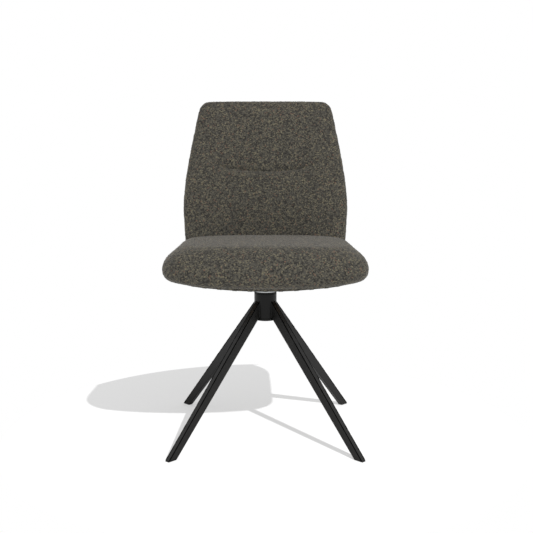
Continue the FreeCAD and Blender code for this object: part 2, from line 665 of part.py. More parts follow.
def bolt(shank):
    """A bolt that points along +Z, with its head's flat face at the origin."""
    rim = value("bolt_rim")
    top_radius = value("bolt_top_radius")
    half_turn = math.sqrt(0.5)
    bulge_radius = top_radius + (head_radius - top_radius) * half_turn
    bulge_height = rim + (head_height - rim) * half_turn
    seat_rim = FreeCAD.Vector(head_radius, 0, 0)
    rim_top = FreeCAD.Vector(head_radius, 0, -rim)
    bulge = FreeCAD.Vector(bulge_radius, 0, -bulge_height)
    top_rim = FreeCAD.Vector(top_radius, 0, -head_height)
    top_middle = FreeCAD.Vector(0, 0, -head_height)
    section = Part.Wire([
        Part.LineSegment(origin, seat_rim).toShape(),
        Part.LineSegment(seat_rim, rim_top).toShape(),
        Part.Arc(rim_top, bulge, top_rim).toShape(),
        Part.LineSegment(top_rim, top_middle).toShape(),
        Part.LineSegment(top_middle, origin).toShape(),
    ])
    head = Part.Face(section).revolve(origin, up, 360)
    stem = Part.makeCylinder(bolt_radius, shank)
    turns = [math.radians(60 * number) for number in range(7)]
    socket = value("socket_radius")
    corners = [FreeCAD.Vector(socket * math.cos(a), socket * math.sin(a), -head_height) for a in turns]
    recess = Part.Face(Part.makePolygon(corners)).extrude(up * value("socket_depth"))
    return head.fuse(stem).cut(recess).removeSplitter()


def insert(length):
    """A threaded insert: its barrel hangs from a flange whose underside is at the origin."""
    flange = Part.makeCylinder(flange_radius, flange_thickness)
    barrel = Part.makeCylinder(insert_radius, length, FreeCAD.Vector(0, 0, -length))
    bore = Part.makeCylinder(bolt_radius + value("press_gap"), length + flange_thickness,
                             FreeCAD.Vector(0, 0, -length))
    return flange.fuse(barrel).cut(bore).removeSplitter()


def placed(shape, point, direction=up):
    """A copy of a shape moved to a point, with its +Z turned to a direction."""
    copy = shape.copy()
    copy.Placement = FreeCAD.Placement(point, FreeCAD.Rotation(up, direction))
    return copy


# The back is drawn upright in a frame of its own, then leaned back about its lower end
lean = value("back_lean")
back_base = FreeCAD.Vector(0, value("back_base_rear"), levels.back_foot)
back_place = FreeCAD.Placement(back_base, FreeCAD.Rotation(FreeCAD.Vector(1, 0, 0), -lean))
lean_up = back_place.Rotation.multVec(up)
lean_back = back_place.Rotation.multVec(FreeCAD.Vector(0, 1, 0))

# Places of the fasteners
bolt_offset = value("bolt_offset")
bracket_offset = value("bracket_offset")
bracket_thickness = value("bracket_thickness")
bracket_touch = value("bracket_touch")
seat_gap = value("seat_gap")
signs = (-1, 1)
plate_spots = [(bolt_offset * x, bolt_offset * y) for x in signs for y in signs]
first_bolt = value("bracket_first_bolt")
bolt_alongs = [first_bolt + value("bracket_bolt_step") * number for number in range(2)]
bracket_slope = math.asin(bracket_touch / dish_along)
bracket_along = FreeCAD.Vector(0, math.cos(bracket_slope), math.sin(bracket_slope))
bracket_up = FreeCAD.Vector(0, -math.sin(bracket_slope), math.cos(bracket_slope))
touch_height = dish_height(bracket_offset - value("bracket_width") / 2, bracket_touch)
touch_point = FreeCAD.Vector(0, bracket_touch, touch_height) - bracket_up * seat_gap
board_bend = value("board_bend")
board_thickness = value("board_thickness")
board_step = board_bend - math.sqrt(board_bend ** 2 - (bracket_offset + value("bracket_width") / 2) ** 2)


def on_bracket(along):
    """The point on a bracket's upper face at a distance behind the axis."""
    return touch_point + bracket_along * ((along - touch_point.y) / bracket_along.y)


def on_board(side, height):
    """The point on the upright part of a bracket's rear face, at a height up the back."""
    local = FreeCAD.Vector(side * bracket_offset, -board_step - seat_gap, height)
    return back_place.multVec(local)


# Seat pan: moulded plywood, dished in both directions, with holes for its inserts
pan_inset = value("seat_tuck") + value("cover_wrap")
pan_rear_inset = value("seat_rear_tuck") + value("cover_wrap")
pan_low = levels.plate_top
pan_high = belt
pan_blank = seat_prism(pan_inset, pan_rear_inset, pan_low, pan_high).cut(dish(pan_thickness))
insert_edge = bolt_offset - flange_radius * math.sqrt(0.5)
insert_floor = dish_height(insert_edge, insert_edge, pan_thickness) - flange_thickness
bolt_length = pan_high - pan_low
insert_spots = [FreeCAD.Vector(x, y, insert_floor) for x, y in plate_spots]
insert_axes = [up] * len(insert_spots)
for side in signs:
    for along in bolt_alongs:
        spot = on_bracket(along) + sideways * (side * bracket_offset)
        insert_spots.append(spot + bracket_up * (pan_thickness + seat_gap - flange_thickness))
        insert_axes.append(bracket_up)
pan_holes = []
for spot, axis in zip(insert_spots, insert_axes):
    well = Part.makeCylinder(flange_radius + hole_gap, bolt_length)
    bore = Part.makeCylinder(insert_radius + hole_gap, 2 * bolt_length, FreeCAD.Vector(0, 0, -bolt_length))
    pan_holes.append(placed(well.fuse(bore), spot, axis))
plain_feature("seat_pan", pan_blank.common(dish()).cut(pan_holes))

# Seat cushion: foam and cover in one, domed on top, bulging at its sides and tucked in
# under them, and open below where it takes the pan
tuck_depth = value("seat_tuck_depth")
dome_angles = (0, 20, 40, 57, 70, 80)
tuck_angles = (-90, -62, -32)
sections = []
for angle in tuck_angles:
    share = 1 - math.cos(math.radians(angle))
    height = belt + tuck_depth * math.sin(math.radians(angle))
    sections.append(seat_outline(height, value("seat_tuck") * share, value("seat_rear_tuck") * share))
for angle in dome_angles:
    share = 1 - math.cos(math.radians(angle))
    height = belt + value("seat_rise") * math.sin(math.radians(angle))
    inset = value("seat_shoulder") * share
    sections.append(seat_outline(height, inset, value("seat_rear_shoulder") * share))
bulge = Part.makeLoft(sections, True, False)
skirt = seat_prism(value("seat_tuck"), value("seat_rear_tuck"), pan_low, belt - tuck_depth)
crown_radius = value("crown_radius")
crown_centre = FreeCAD.Vector(0, -value("crown_forward"), levels.seat_top - crown_radius)
crown = Part.makeSphere(crown_radius, crown_centre, sideways)
cushion = bulge.fuse(skirt).common(crown).common(dish()).cut(pan_blank)
plain_feature("seat_cushion", cushion)

# Dust cover: black non-woven cloth under the pan, open round the block and the brackets
cover_thickness = value("dust_cover_thickness")
sheet_gap = value("sheet_gap")
cover_inset = pan_inset + value("dust_cover_inset")
cover_blank = seat_prism(cover_inset, pan_rear_inset + value("dust_cover_inset"), pan_low, pan_high)
opening = value("dust_cover_opening")
front_opening = value("dust_cover_front_opening")
window = Part.makeBox(2 * opening, front_opening + seat_rear, pan_high,
                      FreeCAD.Vector(-opening, -front_opening, 0))
cover = cover_blank.common(dish(-sheet_gap - cover_thickness)).cut(dish(-sheet_gap)).cut(window)
plain_feature("dust_cover", cover)


# Brackets: flat steel bars bolted under the pan, bent up behind the seat into the back
def meeting_point(point, direction, other_point, other_direction):
    """Where two lines in the side view cross."""
    across = (other_point - point).cross(other_direction).x
    return point + direction * (across / direction.cross(other_direction).x)


bracket_width = value("bracket_width")
bracket_bend = value("bracket_bend")
arm_start = on_bracket(value("bracket_start"))
arm_under = arm_start - bracket_up * bracket_thickness
upright_end = on_board(0, value("bracket_reach_up"))
upright_front = upright_end - lean_back * bracket_thickness
inner_corner = meeting_point(arm_start, bracket_along, upright_front, lean_up)
outer_corner = meeting_point(arm_under, bracket_along, upright_end, lean_up)
board_bolt_low = value("board_bolt_low")
board_bolt_ups = [board_bolt_low + value("board_bolt_step") * number for number in range(2)]
arm_bolts = [on_bracket(along) - bracket_up * bracket_thickness for along in bolt_alongs]
board_bolts = [on_board(0, height) - lean_back * bracket_thickness for height in board_bolt_ups]


def bracket_blank(side, width):
    """A bent bar of some width, without its holes."""
    corners = [arm_start, inner_corner, upright_front, upright_end, outer_corner, arm_under]
    left = sideways * (side * bracket_offset - width / 2)
    bar = Part.Face(Part.makePolygon(corners + corners[:1])).extrude(sideways * width)

    def bend_edge(corner):
        return [edge for edge in bar.Edges
                if all(vertex.Point.sub(corner).cross(sideways).Length < 1e-6 for vertex in edge.Vertexes)]

    outer_edge = bend_edge(outer_corner)
    bar = bar.makeFillet(bracket_bend + bracket_thickness, outer_edge)
    bar = bar.makeFillet(bracket_bend, bend_edge(inner_corner))
    bar.translate(left)
    return bar


def bolt_hole(point, direction):
    """The clear hole for a bolt, through whatever lies on both sides of a point."""
    depth = 4 * bracket_thickness
    hole = Part.makeCylinder(bolt_radius + hole_gap, 2 * depth, up * -depth)
    return placed(hole, point, direction)


for name, side in (("left", -1), ("right", 1)):
    shift = sideways * (side * bracket_offset)
    holes = [bolt_hole(point + shift, bracket_up) for point in arm_bolts]
    holes += [bolt_hole(point + shift, lean_back) for point in board_bolts]
    plain_feature("back_bracket_" + name, bracket_blank(side, bracket_width).cut(holes))

# Groups of bolts and inserts
plate_bolt = bolt(insert_floor - levels.plate_bottom)
plate_bolts = [placed(plate_bolt, FreeCAD.Vector(x, y, levels.plate_bottom)) for x, y in plate_spots]
plain_feature("plate_bolts", Part.makeCompound(plate_bolts))

arm_bolt = bolt(bracket_thickness + seat_gap + pan_thickness - flange_thickness)
board_bolt = bolt(bracket_thickness + seat_gap + board_thickness - flange_thickness)
seat_side = []
back_side = []
for side in signs:
    shift = sideways * (side * bracket_offset)
    seat_side += [placed(arm_bolt, point + shift, bracket_up) for point in arm_bolts]
    back_side += [placed(board_bolt, point + shift, lean_back) for point in board_bolts]
plain_feature("bracket_seat_bolts", Part.makeCompound(seat_side))
plain_feature("bracket_back_bolts", Part.makeCompound(back_side))

barrel = pan_thickness - 2 * flange_thickness
pan_inserts = [placed(insert(barrel), spot, axis) for spot, axis in zip(insert_spots, insert_axes)]
plain_feature("pan_inserts", Part.makeCompound(pan_inserts))

# Outline of the back, in its own upright frame: X across, Y to the rear, Z up the lean
back_length = value("back_length")
belly = value("back_belly")
belly_up = value("back_belly_up")
belly_curve = 1.4


def side_half_width(height):
    """Half the width of the back at a height, before its corners are rounded."""
    if height > belly_up:
        share = (height - belly_up) / (back_length - value("back_top_corner") - belly_up)
        return belly - (belly - value("back_top_half_width")) * share ** belly_curve
    share = (belly_up - height) / (belly_up - value("back_foot_corner"))
    return belly - (belly - value("back_foot_half_width")) * share ** 2


def front_padding(height):
    """Thickness of the front padding: full at the lumbar bulge, thin at the top."""
    crease = value("crease_up")
    if height < belly_up:
        share = height / belly_up
        swing = math.sin(0.5 * math.pi * share)
        return value("front_pad_foot") + (value("front_pad_belly") - value("front_pad_foot")) * swing
    if height < crease:
        share = (height - belly_up) / (crease - belly_up)
        return value("front_pad_belly") + (value("front_pad_middle") - value("front_pad_belly")) * share
    share = (height - crease) / (back_length - crease)
    return value("front_pad_middle") + (value("front_pad_top") - value("front_pad_middle")) * share


def board_setback(half, radius):
    """How far a face bent to a radius comes forward at half its width."""
    return radius - math.sqrt(radius ** 2 - half ** 2)


def back_outline(height, half, front, rear, front_round, rear_round):
    """A level section of the back, with a crowned front and a bent rear."""
    crown_rise = value("front_crown") * (half / belly) ** 2
    rear_drop = board_setback(half - rear_round, board_bend)
    front_end = FreeCAD.Vector(half - front_round, -front + crown_rise, height)
    front_side = FreeCAD.Vector(half, -front + crown_rise + front_round, height)
    rear_side = FreeCAD.Vector(half, rear - rear_drop - rear_round, height)
    rear_end = FreeCAD.Vector(half - rear_round, rear - rear_drop, height)
    front_centre = FreeCAD.Vector(front_end.x, front_side.y, height)
    rear_centre = FreeCAD.Vector(rear_end.x, rear_side.y, height)

    def mirrored(point):
        return FreeCAD.Vector(-point.x, point.y, point.z)

    front_middle = FreeCAD.Vector(0, -front, height)
    rear_middle = FreeCAD.Vector(0, rear, height)
    return Part.Wire([
        Part.Arc(mirrored(front_end), front_middle, front_end).toShape(),
        arc_between(front_centre, front_round, front_end, front_side),
        Part.LineSegment(front_side, rear_side).toShape(),
        arc_between(rear_centre, rear_round, rear_side, rear_end),
        Part.Arc(rear_end, rear_middle, mirrored(rear_end)).toShape(),
        arc_between(mirrored(rear_centre), rear_round, mirrored(rear_end), mirrored(rear_side)),
        Part.LineSegment(mirrored(rear_side), mirrored(front_side)).toShape(),
        arc_between(mirrored(front_centre), front_round, mirrored(front_side), mirrored(front_end)),
    ])


# Envelope of the back: level sections, drawn in at both ends to round the edges
top_corner = value("back_top_corner")
foot_corner = value("back_foot_corner")
rear_depth = board_thickness + value("rear_pad")
front_edge = value("back_front_edge")
rear_edge = value("back_rear_edge")
end_angles = (78, 52, 26, 0)
body_shares = (0.14, 0.3, 0.45, 0.6, 0.74, 0.88)
end_thinning = 0.55
end_sharpening = 0.6


def end_section(angle, corner, at_top):
    """A section in the rounded end of the back, by the angle of the rounding."""
    turned = math.radians(angle)
    rise = corner * (1 - math.sin(turned))
    draw = 1 - math.cos(turned)
    height = back_length - rise if at_top else rise
    half = side_half_width(height) - corner * draw
    padding = front_padding(height)
    front = padding - end_thinning * padding * draw
    rear = rear_depth - end_thinning * value("rear_pad") * draw
    shrink = 1 - end_sharpening * draw
    return back_outline(height, half, front, rear, front_edge * shrink, rear_edge * shrink)


back_sections = [end_section(angle, foot_corner, False) for angle in end_angles]
straight = back_length - top_corner - foot_corner
for share in body_shares:
    height = foot_corner + straight * share
    half = side_half_width(height)
    back_sections.append(back_outline(height, half, front_padding(height), rear_depth, front_edge, rear_edge))
back_sections += [end_section(angle, top_corner, True) for angle in reversed(end_angles)]
envelope = Part.makeLoft(back_sections, True, False)

# Back board: plywood bent to a radius about a line in front of it
bend_axis = FreeCAD.Vector(0, -board_bend, -back_length)
front_bend = Part.makeCylinder(board_bend, 3 * back_length, bend_axis)
rear_bend = Part.makeCylinder(board_bend + board_thickness, 3 * back_length, bend_axis)
board_inset = value("board_inset")
board_points = []
board_shares = (0.0, 0.25, 0.5, 0.75, 1.0)
for share in board_shares:
    height = foot_corner + straight * share
    board_points.append(FreeCAD.Vector(side_half_width(height) - board_inset, -rear_depth, height))
board_foot = board_points[0].z + board_inset - foot_corner
board_top = board_points[-1].z + top_corner - board_inset


def mirrored_points(points):
    return [FreeCAD.Vector(-point.x, point.y, point.z) for point in reversed(points)]


right_side = Part.BSplineCurve()
right_side.interpolate(board_points)
left_side = Part.BSplineCurve()
left_side.interpolate(mirrored_points(board_points))
foot_run = foot_corner - board_inset
top_run = top_corner - board_inset
foot_end = FreeCAD.Vector(board_points[0].x - foot_run, -rear_depth, board_foot)
top_end = FreeCAD.Vector(board_points[-1].x - top_run, -rear_depth, board_top)
foot_left = FreeCAD.Vector(-foot_end.x, foot_end.y, foot_end.z)
top_left = FreeCAD.Vector(-top_end.x, top_end.y, top_end.z)
board_left = mirrored_points(board_points)


def corner_arc(start, end, centre):
    """The rounded corner of the board between two of its sides."""
    return arc_between(centre, start.sub(centre).Length, start, end)


foot_centre = FreeCAD.Vector(foot_end.x, -rear_depth, board_points[0].z)
top_centre = FreeCAD.Vector(top_end.x, -rear_depth, board_points[-1].z)
foot_centre_left = FreeCAD.Vector(-foot_centre.x, foot_centre.y, foot_centre.z)
top_centre_left = FreeCAD.Vector(-top_centre.x, top_centre.y, top_centre.z)
board_wire = Part.Wire([
    Part.LineSegment(foot_left, foot_end).toShape(),
    corner_arc(foot_end, board_points[0], foot_centre),
    right_side.toShape(),
    corner_arc(board_points[-1], top_end, top_centre),
    Part.LineSegment(top_end, top_left).toShape(),
    corner_arc(top_left, board_left[0], top_centre_left),
    left_side.toShape(),
    corner_arc(board_left[-1], foot_left, foot_centre_left),
])
board_prism = Part.Face(board_wire).extrude(FreeCAD.Vector(0, 3 * rear_depth, 0))
board_blank = board_prism.common(rear_bend).cut(front_bend)

# Space inside the back for the brackets and the heads of their bolts
to_back_frame = back_place.inverse()
clear_width = bracket_width + 2 * seat_gap
channels = []
for side in signs:
    channel_front = -board_step - seat_gap - bracket_thickness - head_height - 2 * seat_gap
    corner = FreeCAD.Vector(side * bracket_offset - clear_width / 2, channel_front, -foot_corner)
    reach = value("bracket_reach_up") + seat_gap + foot_corner
    channels.append(Part.makeBox(clear_width, -channel_front + board_thickness / 2, reach, corner))
    arm_space = bracket_blank(side, clear_width)
    arm_space.Placement = to_back_frame.multiply(arm_space.Placement)
    channels.append(arm_space)
board_wells = []
board_insert_spots = []
backwards = FreeCAD.Vector(0, 1, 0)
for side in signs:
    for height in board_bolt_ups:
        spot = FreeCAD.Vector(side * bracket_offset, board_thickness - board_step - flange_thickness, height)
        well = Part.makeCylinder(flange_radius + hole_gap, board_thickness)
        bore = Part.makeCylinder(insert_radius + hole_gap, 3 * board_thickness, up * -1.5 * board_thickness)
        board_wells.append(placed(well.fuse(bore), spot, backwards))
        board_insert_spots.append(placed(insert(board_thickness - 2 * flange_thickness), spot, backwards))


def leaned(name, shape):
    """A piece of the back, moved from its upright frame to its place."""
    piece = plain_feature(name, shape)
    piece.Placement = back_place
    return piece


leaned("back_board", board_blank.cut(board_wells))
leaned("board_inserts", Part.makeCompound(board_insert_spots))

# Rear panel: the covered padding behind the board, split off at the board's rear face
leaned("back_rear_panel", envelope.cut(rear_bend))

# Back cushion: foam and cover round the front and the edges of the board, with the
# smile-shaped crease pressed into its front
crease_up = value("crease_up")
crease_radius = value("crease_radius")
crease_tube = value("crease_tube")
crease_front = -front_padding(crease_up) - crease_tube + value("crease_depth")
crease_centre = FreeCAD.Vector(0, crease_front, crease_up + crease_radius)
crease = Part.makeTorus(crease_radius, crease_tube, crease_centre, FreeCAD.Vector(0, 1, 0))
front_half = envelope.common(rear_bend).cut([board_blank] + channels)
leaned("back_cushion", front_half.cut(crease))

doc.recompute()

# Every exported piece, by the name of its file
spare = {block_blank, nut_blank, nut_bore, dish_space}
kinds = ("PartDesign::Body", "Part::Cut", "Part::Feature")
pieces = [item for item in doc.Objects if item.TypeId in kinds and item not in spare]
for item in doc.Objects:
    if "Invalid" in item.State or "Error" in item.State:
        raise RuntimeError("the feature %s failed" % item.Label)
for piece in pieces:
    if piece.Shape.isNull() or not piece.Shape.isValid() or not piece.Shape.Solids:
        raise RuntimeError("the piece %s has no sound shape" % piece.Label)

os.makedirs("parts", exist_ok=True)
for piece in pieces:
    piece.Shape.exportStep("parts/%s.step" % piece.Label)
    box = piece.Shape.BoundBox
    print("%-24s %2d solid(s) %10.0f mm3  z %6.1f to %6.1f" % (
        piece.Label, len(piece.Shape.Solids), piece.Shape.Volume, box.ZMin, box.ZMax))
print(len(pieces), "pieces")
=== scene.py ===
# %% [markdown]
# # A swivel dining chair, upholstered in melange boucle on a black steel base
# The chair has two very different halves. Below, four tapered steel legs meet a short
# column. Above, a domed seat and a leaning back wear a thick woollen boucle that turns
# with the swivel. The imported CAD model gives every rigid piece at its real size, so this
# lesson only adds what a machine drawing can't hold: puffed covers, cloth and finishes.

# %% Load the frame
import math
import bpy
import bmesh
import numpy as np
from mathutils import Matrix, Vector
from mathutils.bvhtree import BVHTree
from mathutils.geometry import convex_hull_2d
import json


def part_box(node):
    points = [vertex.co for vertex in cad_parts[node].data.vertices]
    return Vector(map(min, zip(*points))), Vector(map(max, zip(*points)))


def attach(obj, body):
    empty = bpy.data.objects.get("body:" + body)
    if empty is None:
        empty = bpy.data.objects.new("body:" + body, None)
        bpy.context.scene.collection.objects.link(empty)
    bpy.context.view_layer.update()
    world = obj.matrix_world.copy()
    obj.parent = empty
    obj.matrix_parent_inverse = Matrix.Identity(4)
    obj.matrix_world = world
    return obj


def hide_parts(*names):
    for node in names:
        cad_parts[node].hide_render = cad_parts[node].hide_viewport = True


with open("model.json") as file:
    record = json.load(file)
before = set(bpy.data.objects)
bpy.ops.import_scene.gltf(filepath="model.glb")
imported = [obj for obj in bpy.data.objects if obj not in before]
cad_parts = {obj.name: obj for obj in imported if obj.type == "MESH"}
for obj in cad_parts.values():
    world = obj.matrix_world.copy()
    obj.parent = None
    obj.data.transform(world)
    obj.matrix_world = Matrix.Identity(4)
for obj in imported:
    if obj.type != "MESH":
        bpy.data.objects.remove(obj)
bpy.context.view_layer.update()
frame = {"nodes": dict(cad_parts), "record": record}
nodes = frame["nodes"]

# %% [markdown]
# ## The camera
# The photograph is a square frame taken from seat height, straight in front of the chair
# and tilted a little down. A camera is found by its effect: the horizon sets the height,
# the spread of the feet sets the distance, and the size on the picture sets the lens.

# %% Camera
MM = 0.001
camera_distance = 2100 * MM
camera_height = 722.5 * MM
camera_tilt = 8.04
lens_mm = 56.85
frame_shift = 0.002

camera_data = bpy.data.cameras.new("studio_camera")
camera_data.sensor_fit = "HORIZONTAL"
camera_data.sensor_width = 36
camera_data.lens = lens_mm
camera_data.shift_x = frame_shift
camera = bpy.data.objects.new("studio_camera", camera_data)
camera.location = (0, -camera_distance, camera_height)
camera.rotation_euler = (math.radians(90 - camera_tilt), 0, 0)
bpy.context.scene.collection.objects.link(camera)
bpy.context.scene.camera = camera
print("camera at", tuple(round(part, 3) for part in camera.location))

# %% [markdown]
# ## Nodes without fuss
# A procedural material is a small graph. One function adds any node, sets its plain
# properties and links its inputs, so each finish below reads from top to bottom. Colours
# are written as a paint chart gives them, in sRGB, and turned to the linear values that
# the renderer adds up.

# %% Helpers for materials
def linear(code, strength=1.0):
    """A colour written as an sRGB hex code, as the linear values that light adds up in."""
    parts = [int(code[place:place + 2], 16) / 255 for place in (1, 3, 5)]
    bent = [part / 12.92 if part <= 0.04045 else ((part + 0.055) / 1.055) ** 2.4 for part in parts]
    return tuple(strength * part for part in bent) + (1.0,)


def add_node(tree, kind, settings=None, **inputs):
    """Adds a node. An input is a value, or a socket of another node to link from.

    Its key is the input's name with an underscore for each blank, or an underscore and its number.
    """
    node = tree.nodes.new(kind)
    for name, setting in (settings or {}).items():
        setattr(node, name, setting)
    for name, given in inputs.items():
        key = int(name[1:]) if name[0] == "_" else name.replace("_", " ")
        socket = node.inputs[key]
        if isinstance(given, bpy.types.NodeSocket):
            tree.links.new(given, socket)
        else:
            socket.default_value = given
    return node


def new_material(name):
    """An empty material: its node tree and its output."""
    material = bpy.data.materials.new(name)
    material.use_nodes = True
    tree = material.node_tree
    tree.nodes.clear()
    return material, tree, tree.nodes.new("ShaderNodeOutputMaterial")


def ramp(tree, factor, stops):
    """A colour ramp whose stops are pairs of a position and a colour code."""
    node = add_node(tree, "ShaderNodeValToRGB", Fac=factor)
    marks = node.color_ramp.elements
    marks[0].position, marks[1].position = stops[0][0], stops[-1][0]
    marks[0].color, marks[1].color = linear(stops[0][1]), linear(stops[-1][1])
    for position, code in stops[1:-1]:
        marks.new(position).color = linear(code)
    return node.outputs["Color"]


def per_metre(size_mm):
    """The texture scale whose pattern repeats about every so many millimetres."""
    return 1.0 / (size_mm * MM)


def reckon(tree, operation, *values):
    """The result of one step of arithmetic on numbers or sockets."""
    inputs = {"_%d" % number: value for number, value in enumerate(values)}
    return add_node(tree, "ShaderNodeMath", {"operation": operation}, **inputs).outputs[0]


def own_place(tree):
    """The place of a point in the object's own coordinates."""
    return add_node(tree, "ShaderNodeTexCoord").outputs["Object"]


# %% [markdown]
# ## Light and floor
# The picture has a white room and a lamp, high at the front right, that throws a crisp
# pale shadow to the left. A white world gives the room. The lamp is small, because the
# edge of a shadow is as sharp as the lamp is small. Most of the light on the chair comes
# from the room, so the lamp is weak, and a second one at the same place, linked to the
# floor alone, makes the shadow plain. The floor is a round white plate: it keeps the
# shadow, and its own whiteness meets the white of the room without an edge.

# %% Light
room_strength = 0.80
lamp_place = Vector((1.88, -3.81, 3.85))
lamp_power = 300
floor_lamp_power = 1450
lamp_radius = 30 * MM

scene = bpy.context.scene
scene.view_settings.view_transform = "Standard"
world = bpy.data.worlds.new("white_room")
scene.world = world
world.use_nodes = True
room = world.node_tree
room.nodes.clear()
rays = add_node(room, "ShaderNodeLightPath").outputs
seen = reckon(room, "MAXIMUM", rays["Is Camera Ray"], rays["Is Glossy Ray"])
seen = reckon(room, "MAXIMUM", seen, rays["Is Transmission Ray"])
strength = add_node(room, "ShaderNodeMix", {"data_type": "FLOAT"}, _0=seen, _2=room_strength, _3=1.0)
backdrop = add_node(room, "ShaderNodeBackground", Color=(1, 1, 1, 1), Strength=strength.outputs[0])
add_node(room, "ShaderNodeOutputWorld", Surface=backdrop.outputs[0])


def add_lamp(name, power):
    """A small round lamp at the place of the studio's lamp."""
    lamp_data = bpy.data.lights.new(name, "POINT")
    lamp_data.energy = power
    lamp_data.shadow_soft_size = lamp_radius
    lamp = bpy.data.objects.new(name, lamp_data)
    lamp.location = lamp_place
    scene.collection.objects.link(lamp)
    return lamp


studio_lamp = add_lamp("studio_lamp", lamp_power)
shadow_lamp = add_lamp("shadow_lamp", floor_lamp_power)
print("lamps are", round(lamp_place.length, 2), "m away")

# %% Floor
floor_radius = 662 * MM
floor_steps = 160
floor_glow = 0.40
floor_white = 0.43
floor_bounce = 0.5

floor_mesh = bpy.data.meshes.new("studio_floor")
shape = bmesh.new()
bmesh.ops.create_circle(shape, cap_ends=True, segments=floor_steps, radius=floor_radius)
shape.to_mesh(floor_mesh)
shape.free()
studio_floor = bpy.data.objects.new("studio_floor", floor_mesh)
scene.collection.objects.link(studio_floor)

material, tree, output = new_material("matt_white_floor")
rays = add_node(tree, "ShaderNodeLightPath")
matt = add_node(tree, "ShaderNodeBsdfDiffuse", Color=(floor_white, floor_white, floor_white, 1))
bounce = add_node(tree, "ShaderNodeBsdfDiffuse", Color=(floor_bounce, floor_bounce, floor_bounce, 1))
glow = add_node(tree, "ShaderNodeEmission", Color=(1, 1, 1, 1), Strength=floor_glow)
both = add_node(tree, "ShaderNodeAddShader", _0=matt.outputs[0], _1=glow.outputs[0])
picked = add_node(tree, "ShaderNodeMixShader", _0=rays.outputs["Is Camera Ray"], _1=bounce.outputs[0],
                  _2=both.outputs[0])
tree.links.new(picked.outputs[0], output.inputs["Surface"])
floor_mesh.materials.append(material)
floor_only = bpy.data.collections.new("floor_only")
floor_only.objects.link(studio_floor)
shadow_lamp.light_linking.receiver_collection = floor_only
print("floor radius", floor_radius, "m")

# %% [markdown]
# ## The boucle
# Boucle is woven from looped yarn, so the surface is a carpet of small knots. Here the
# yarn is a melange: dark brown-grey wool with fewer loops in olive, beige and a rare
# reddish brown. Each loop is one cell of a Voronoi pattern with a random shade; a second,
# finer pattern gives its fibres. The pattern is solid, in three dimensions, so it runs
# over every seam without a map. A sheen on the shader is the fuzz that catches light
# where the cloth is seen edge on, as on the top of the seat.

# %% Boucle
loop_mm = 2.7
fibre_mm = 0.8
cluster_mm = 30
loop_height = 0.8 * MM
wander_mm = 2.2 * loop_mm
stray_mm = 1.2 * loop_mm
fibre_share, cluster_share = 0.35, 0.12
darkest, lightest = 0.1, 1.4
rare_from, rare_to = 0.968, 0.985

boucle, tree, output = new_material("melange_wool_boucle")
place = own_place(tree)
wander = add_node(tree, "ShaderNodeTexNoise", Vector=place, Scale=per_metre(wander_mm), Detail=1.0)
strayed = add_node(tree, "ShaderNodeVectorMath", {"operation": "MULTIPLY_ADD"}, _0=wander.outputs["Color"],
                   _1=(stray_mm * MM,) * 3, _2=place)
loops = add_node(tree, "ShaderNodeTexVoronoi", Vector=strayed.outputs[0], Scale=per_metre(loop_mm))
shade = add_node(tree, "ShaderNodeSeparateColor", Color=loops.outputs["Color"])
fibres = add_node(tree, "ShaderNodeTexNoise", Vector=place, Scale=per_metre(fibre_mm), Detail=2.0)
cluster = add_node(tree, "ShaderNodeTexNoise", Vector=place, Scale=per_metre(cluster_mm), Detail=2.0)
mixed = reckon(tree, "MULTIPLY_ADD", fibres.outputs[0], fibre_share, shade.outputs[0])
mixed = reckon(tree, "MULTIPLY_ADD", cluster.outputs[0], cluster_share, mixed)
level = add_node(tree, "ShaderNodeMapRange", _0=mixed, _1=darkest, _2=lightest)
yarn = ramp(tree, level.outputs[0], [
    (0.0, "#292826"), (0.3, "#3f3d39"), (0.55, "#53514b"), (0.75, "#625e53"), (0.9, "#7f7862"),
    (1.0, "#9b9278"),
])
rare = add_node(tree, "ShaderNodeMapRange", _0=shade.outputs[1], _1=rare_from, _2=rare_to)
brown = add_node(tree, "ShaderNodeMix", {"data_type": "RGBA"}, _0=rare.outputs[0], _6=yarn,
                 _7=linear("#705b4e"))
relief = reckon(tree, "MULTIPLY_ADD", loops.outputs["Distance"], -1.0, 1.0)
bump = add_node(tree, "ShaderNodeBump", Height=relief, Distance=loop_height, Strength=0.8)
wool = add_node(tree, "ShaderNodeBsdfPrincipled", Base_Color=brown.outputs[2], Normal=bump.outputs[0],
                Roughness=0.95, Specular_IOR_Level=0.15, Sheen_Weight=0.45, Sheen_Roughness=0.32,
                Sheen_Tint=linear("#c9c6c2"))
tree.links.new(wool.outputs[0], output.inputs["Surface"])
print("boucle loops of", loop_mm, "mm")

# %% [markdown]
# ## Steel, zinc and plastic
# The legs and the column are powder-coated: the powder melts into a thin skin with a
# faint orange peel, black and satin. The end pieces of the column are moulded plastic,
# a little duller. The ring under the seat and the screws are zinc-plated steel. Small
# noise in the roughness keeps each of them from looking like a flat colour.

# %% Painted shade on an edge
side_slope, top_slope = 0.03, 0.55


def paint_edge_shade(tree, tint):
    """The tint, but painted nearly black as shade on the rounded edges between a leg's upright and sloping
    sides.
    """
    facing = add_node(tree, "ShaderNodeNewGeometry")
    slope = add_node(tree, "ShaderNodeSeparateXYZ", Vector=facing.outputs["True Normal"])
    slope = reckon(tree, "ABSOLUTE", slope.outputs["Z"])
    past_side = reckon(tree, "GREATER_THAN", slope, side_slope)
    before_top = reckon(tree, "LESS_THAN", slope, top_slope)
    # The mask of painted shade: the rounded edges between the upright and the sloping sides.
    edge = reckon(tree, "MULTIPLY", past_side, before_top)
    mixed = add_node(tree, "ShaderNodeMix", {"data_type": "RGBA"}, _0=edge, _6=tint, _7=linear("#050505"))
    return mixed.outputs[2]


# %% Hard finishes
cloud_mm = 40
rough_spread = 0.08


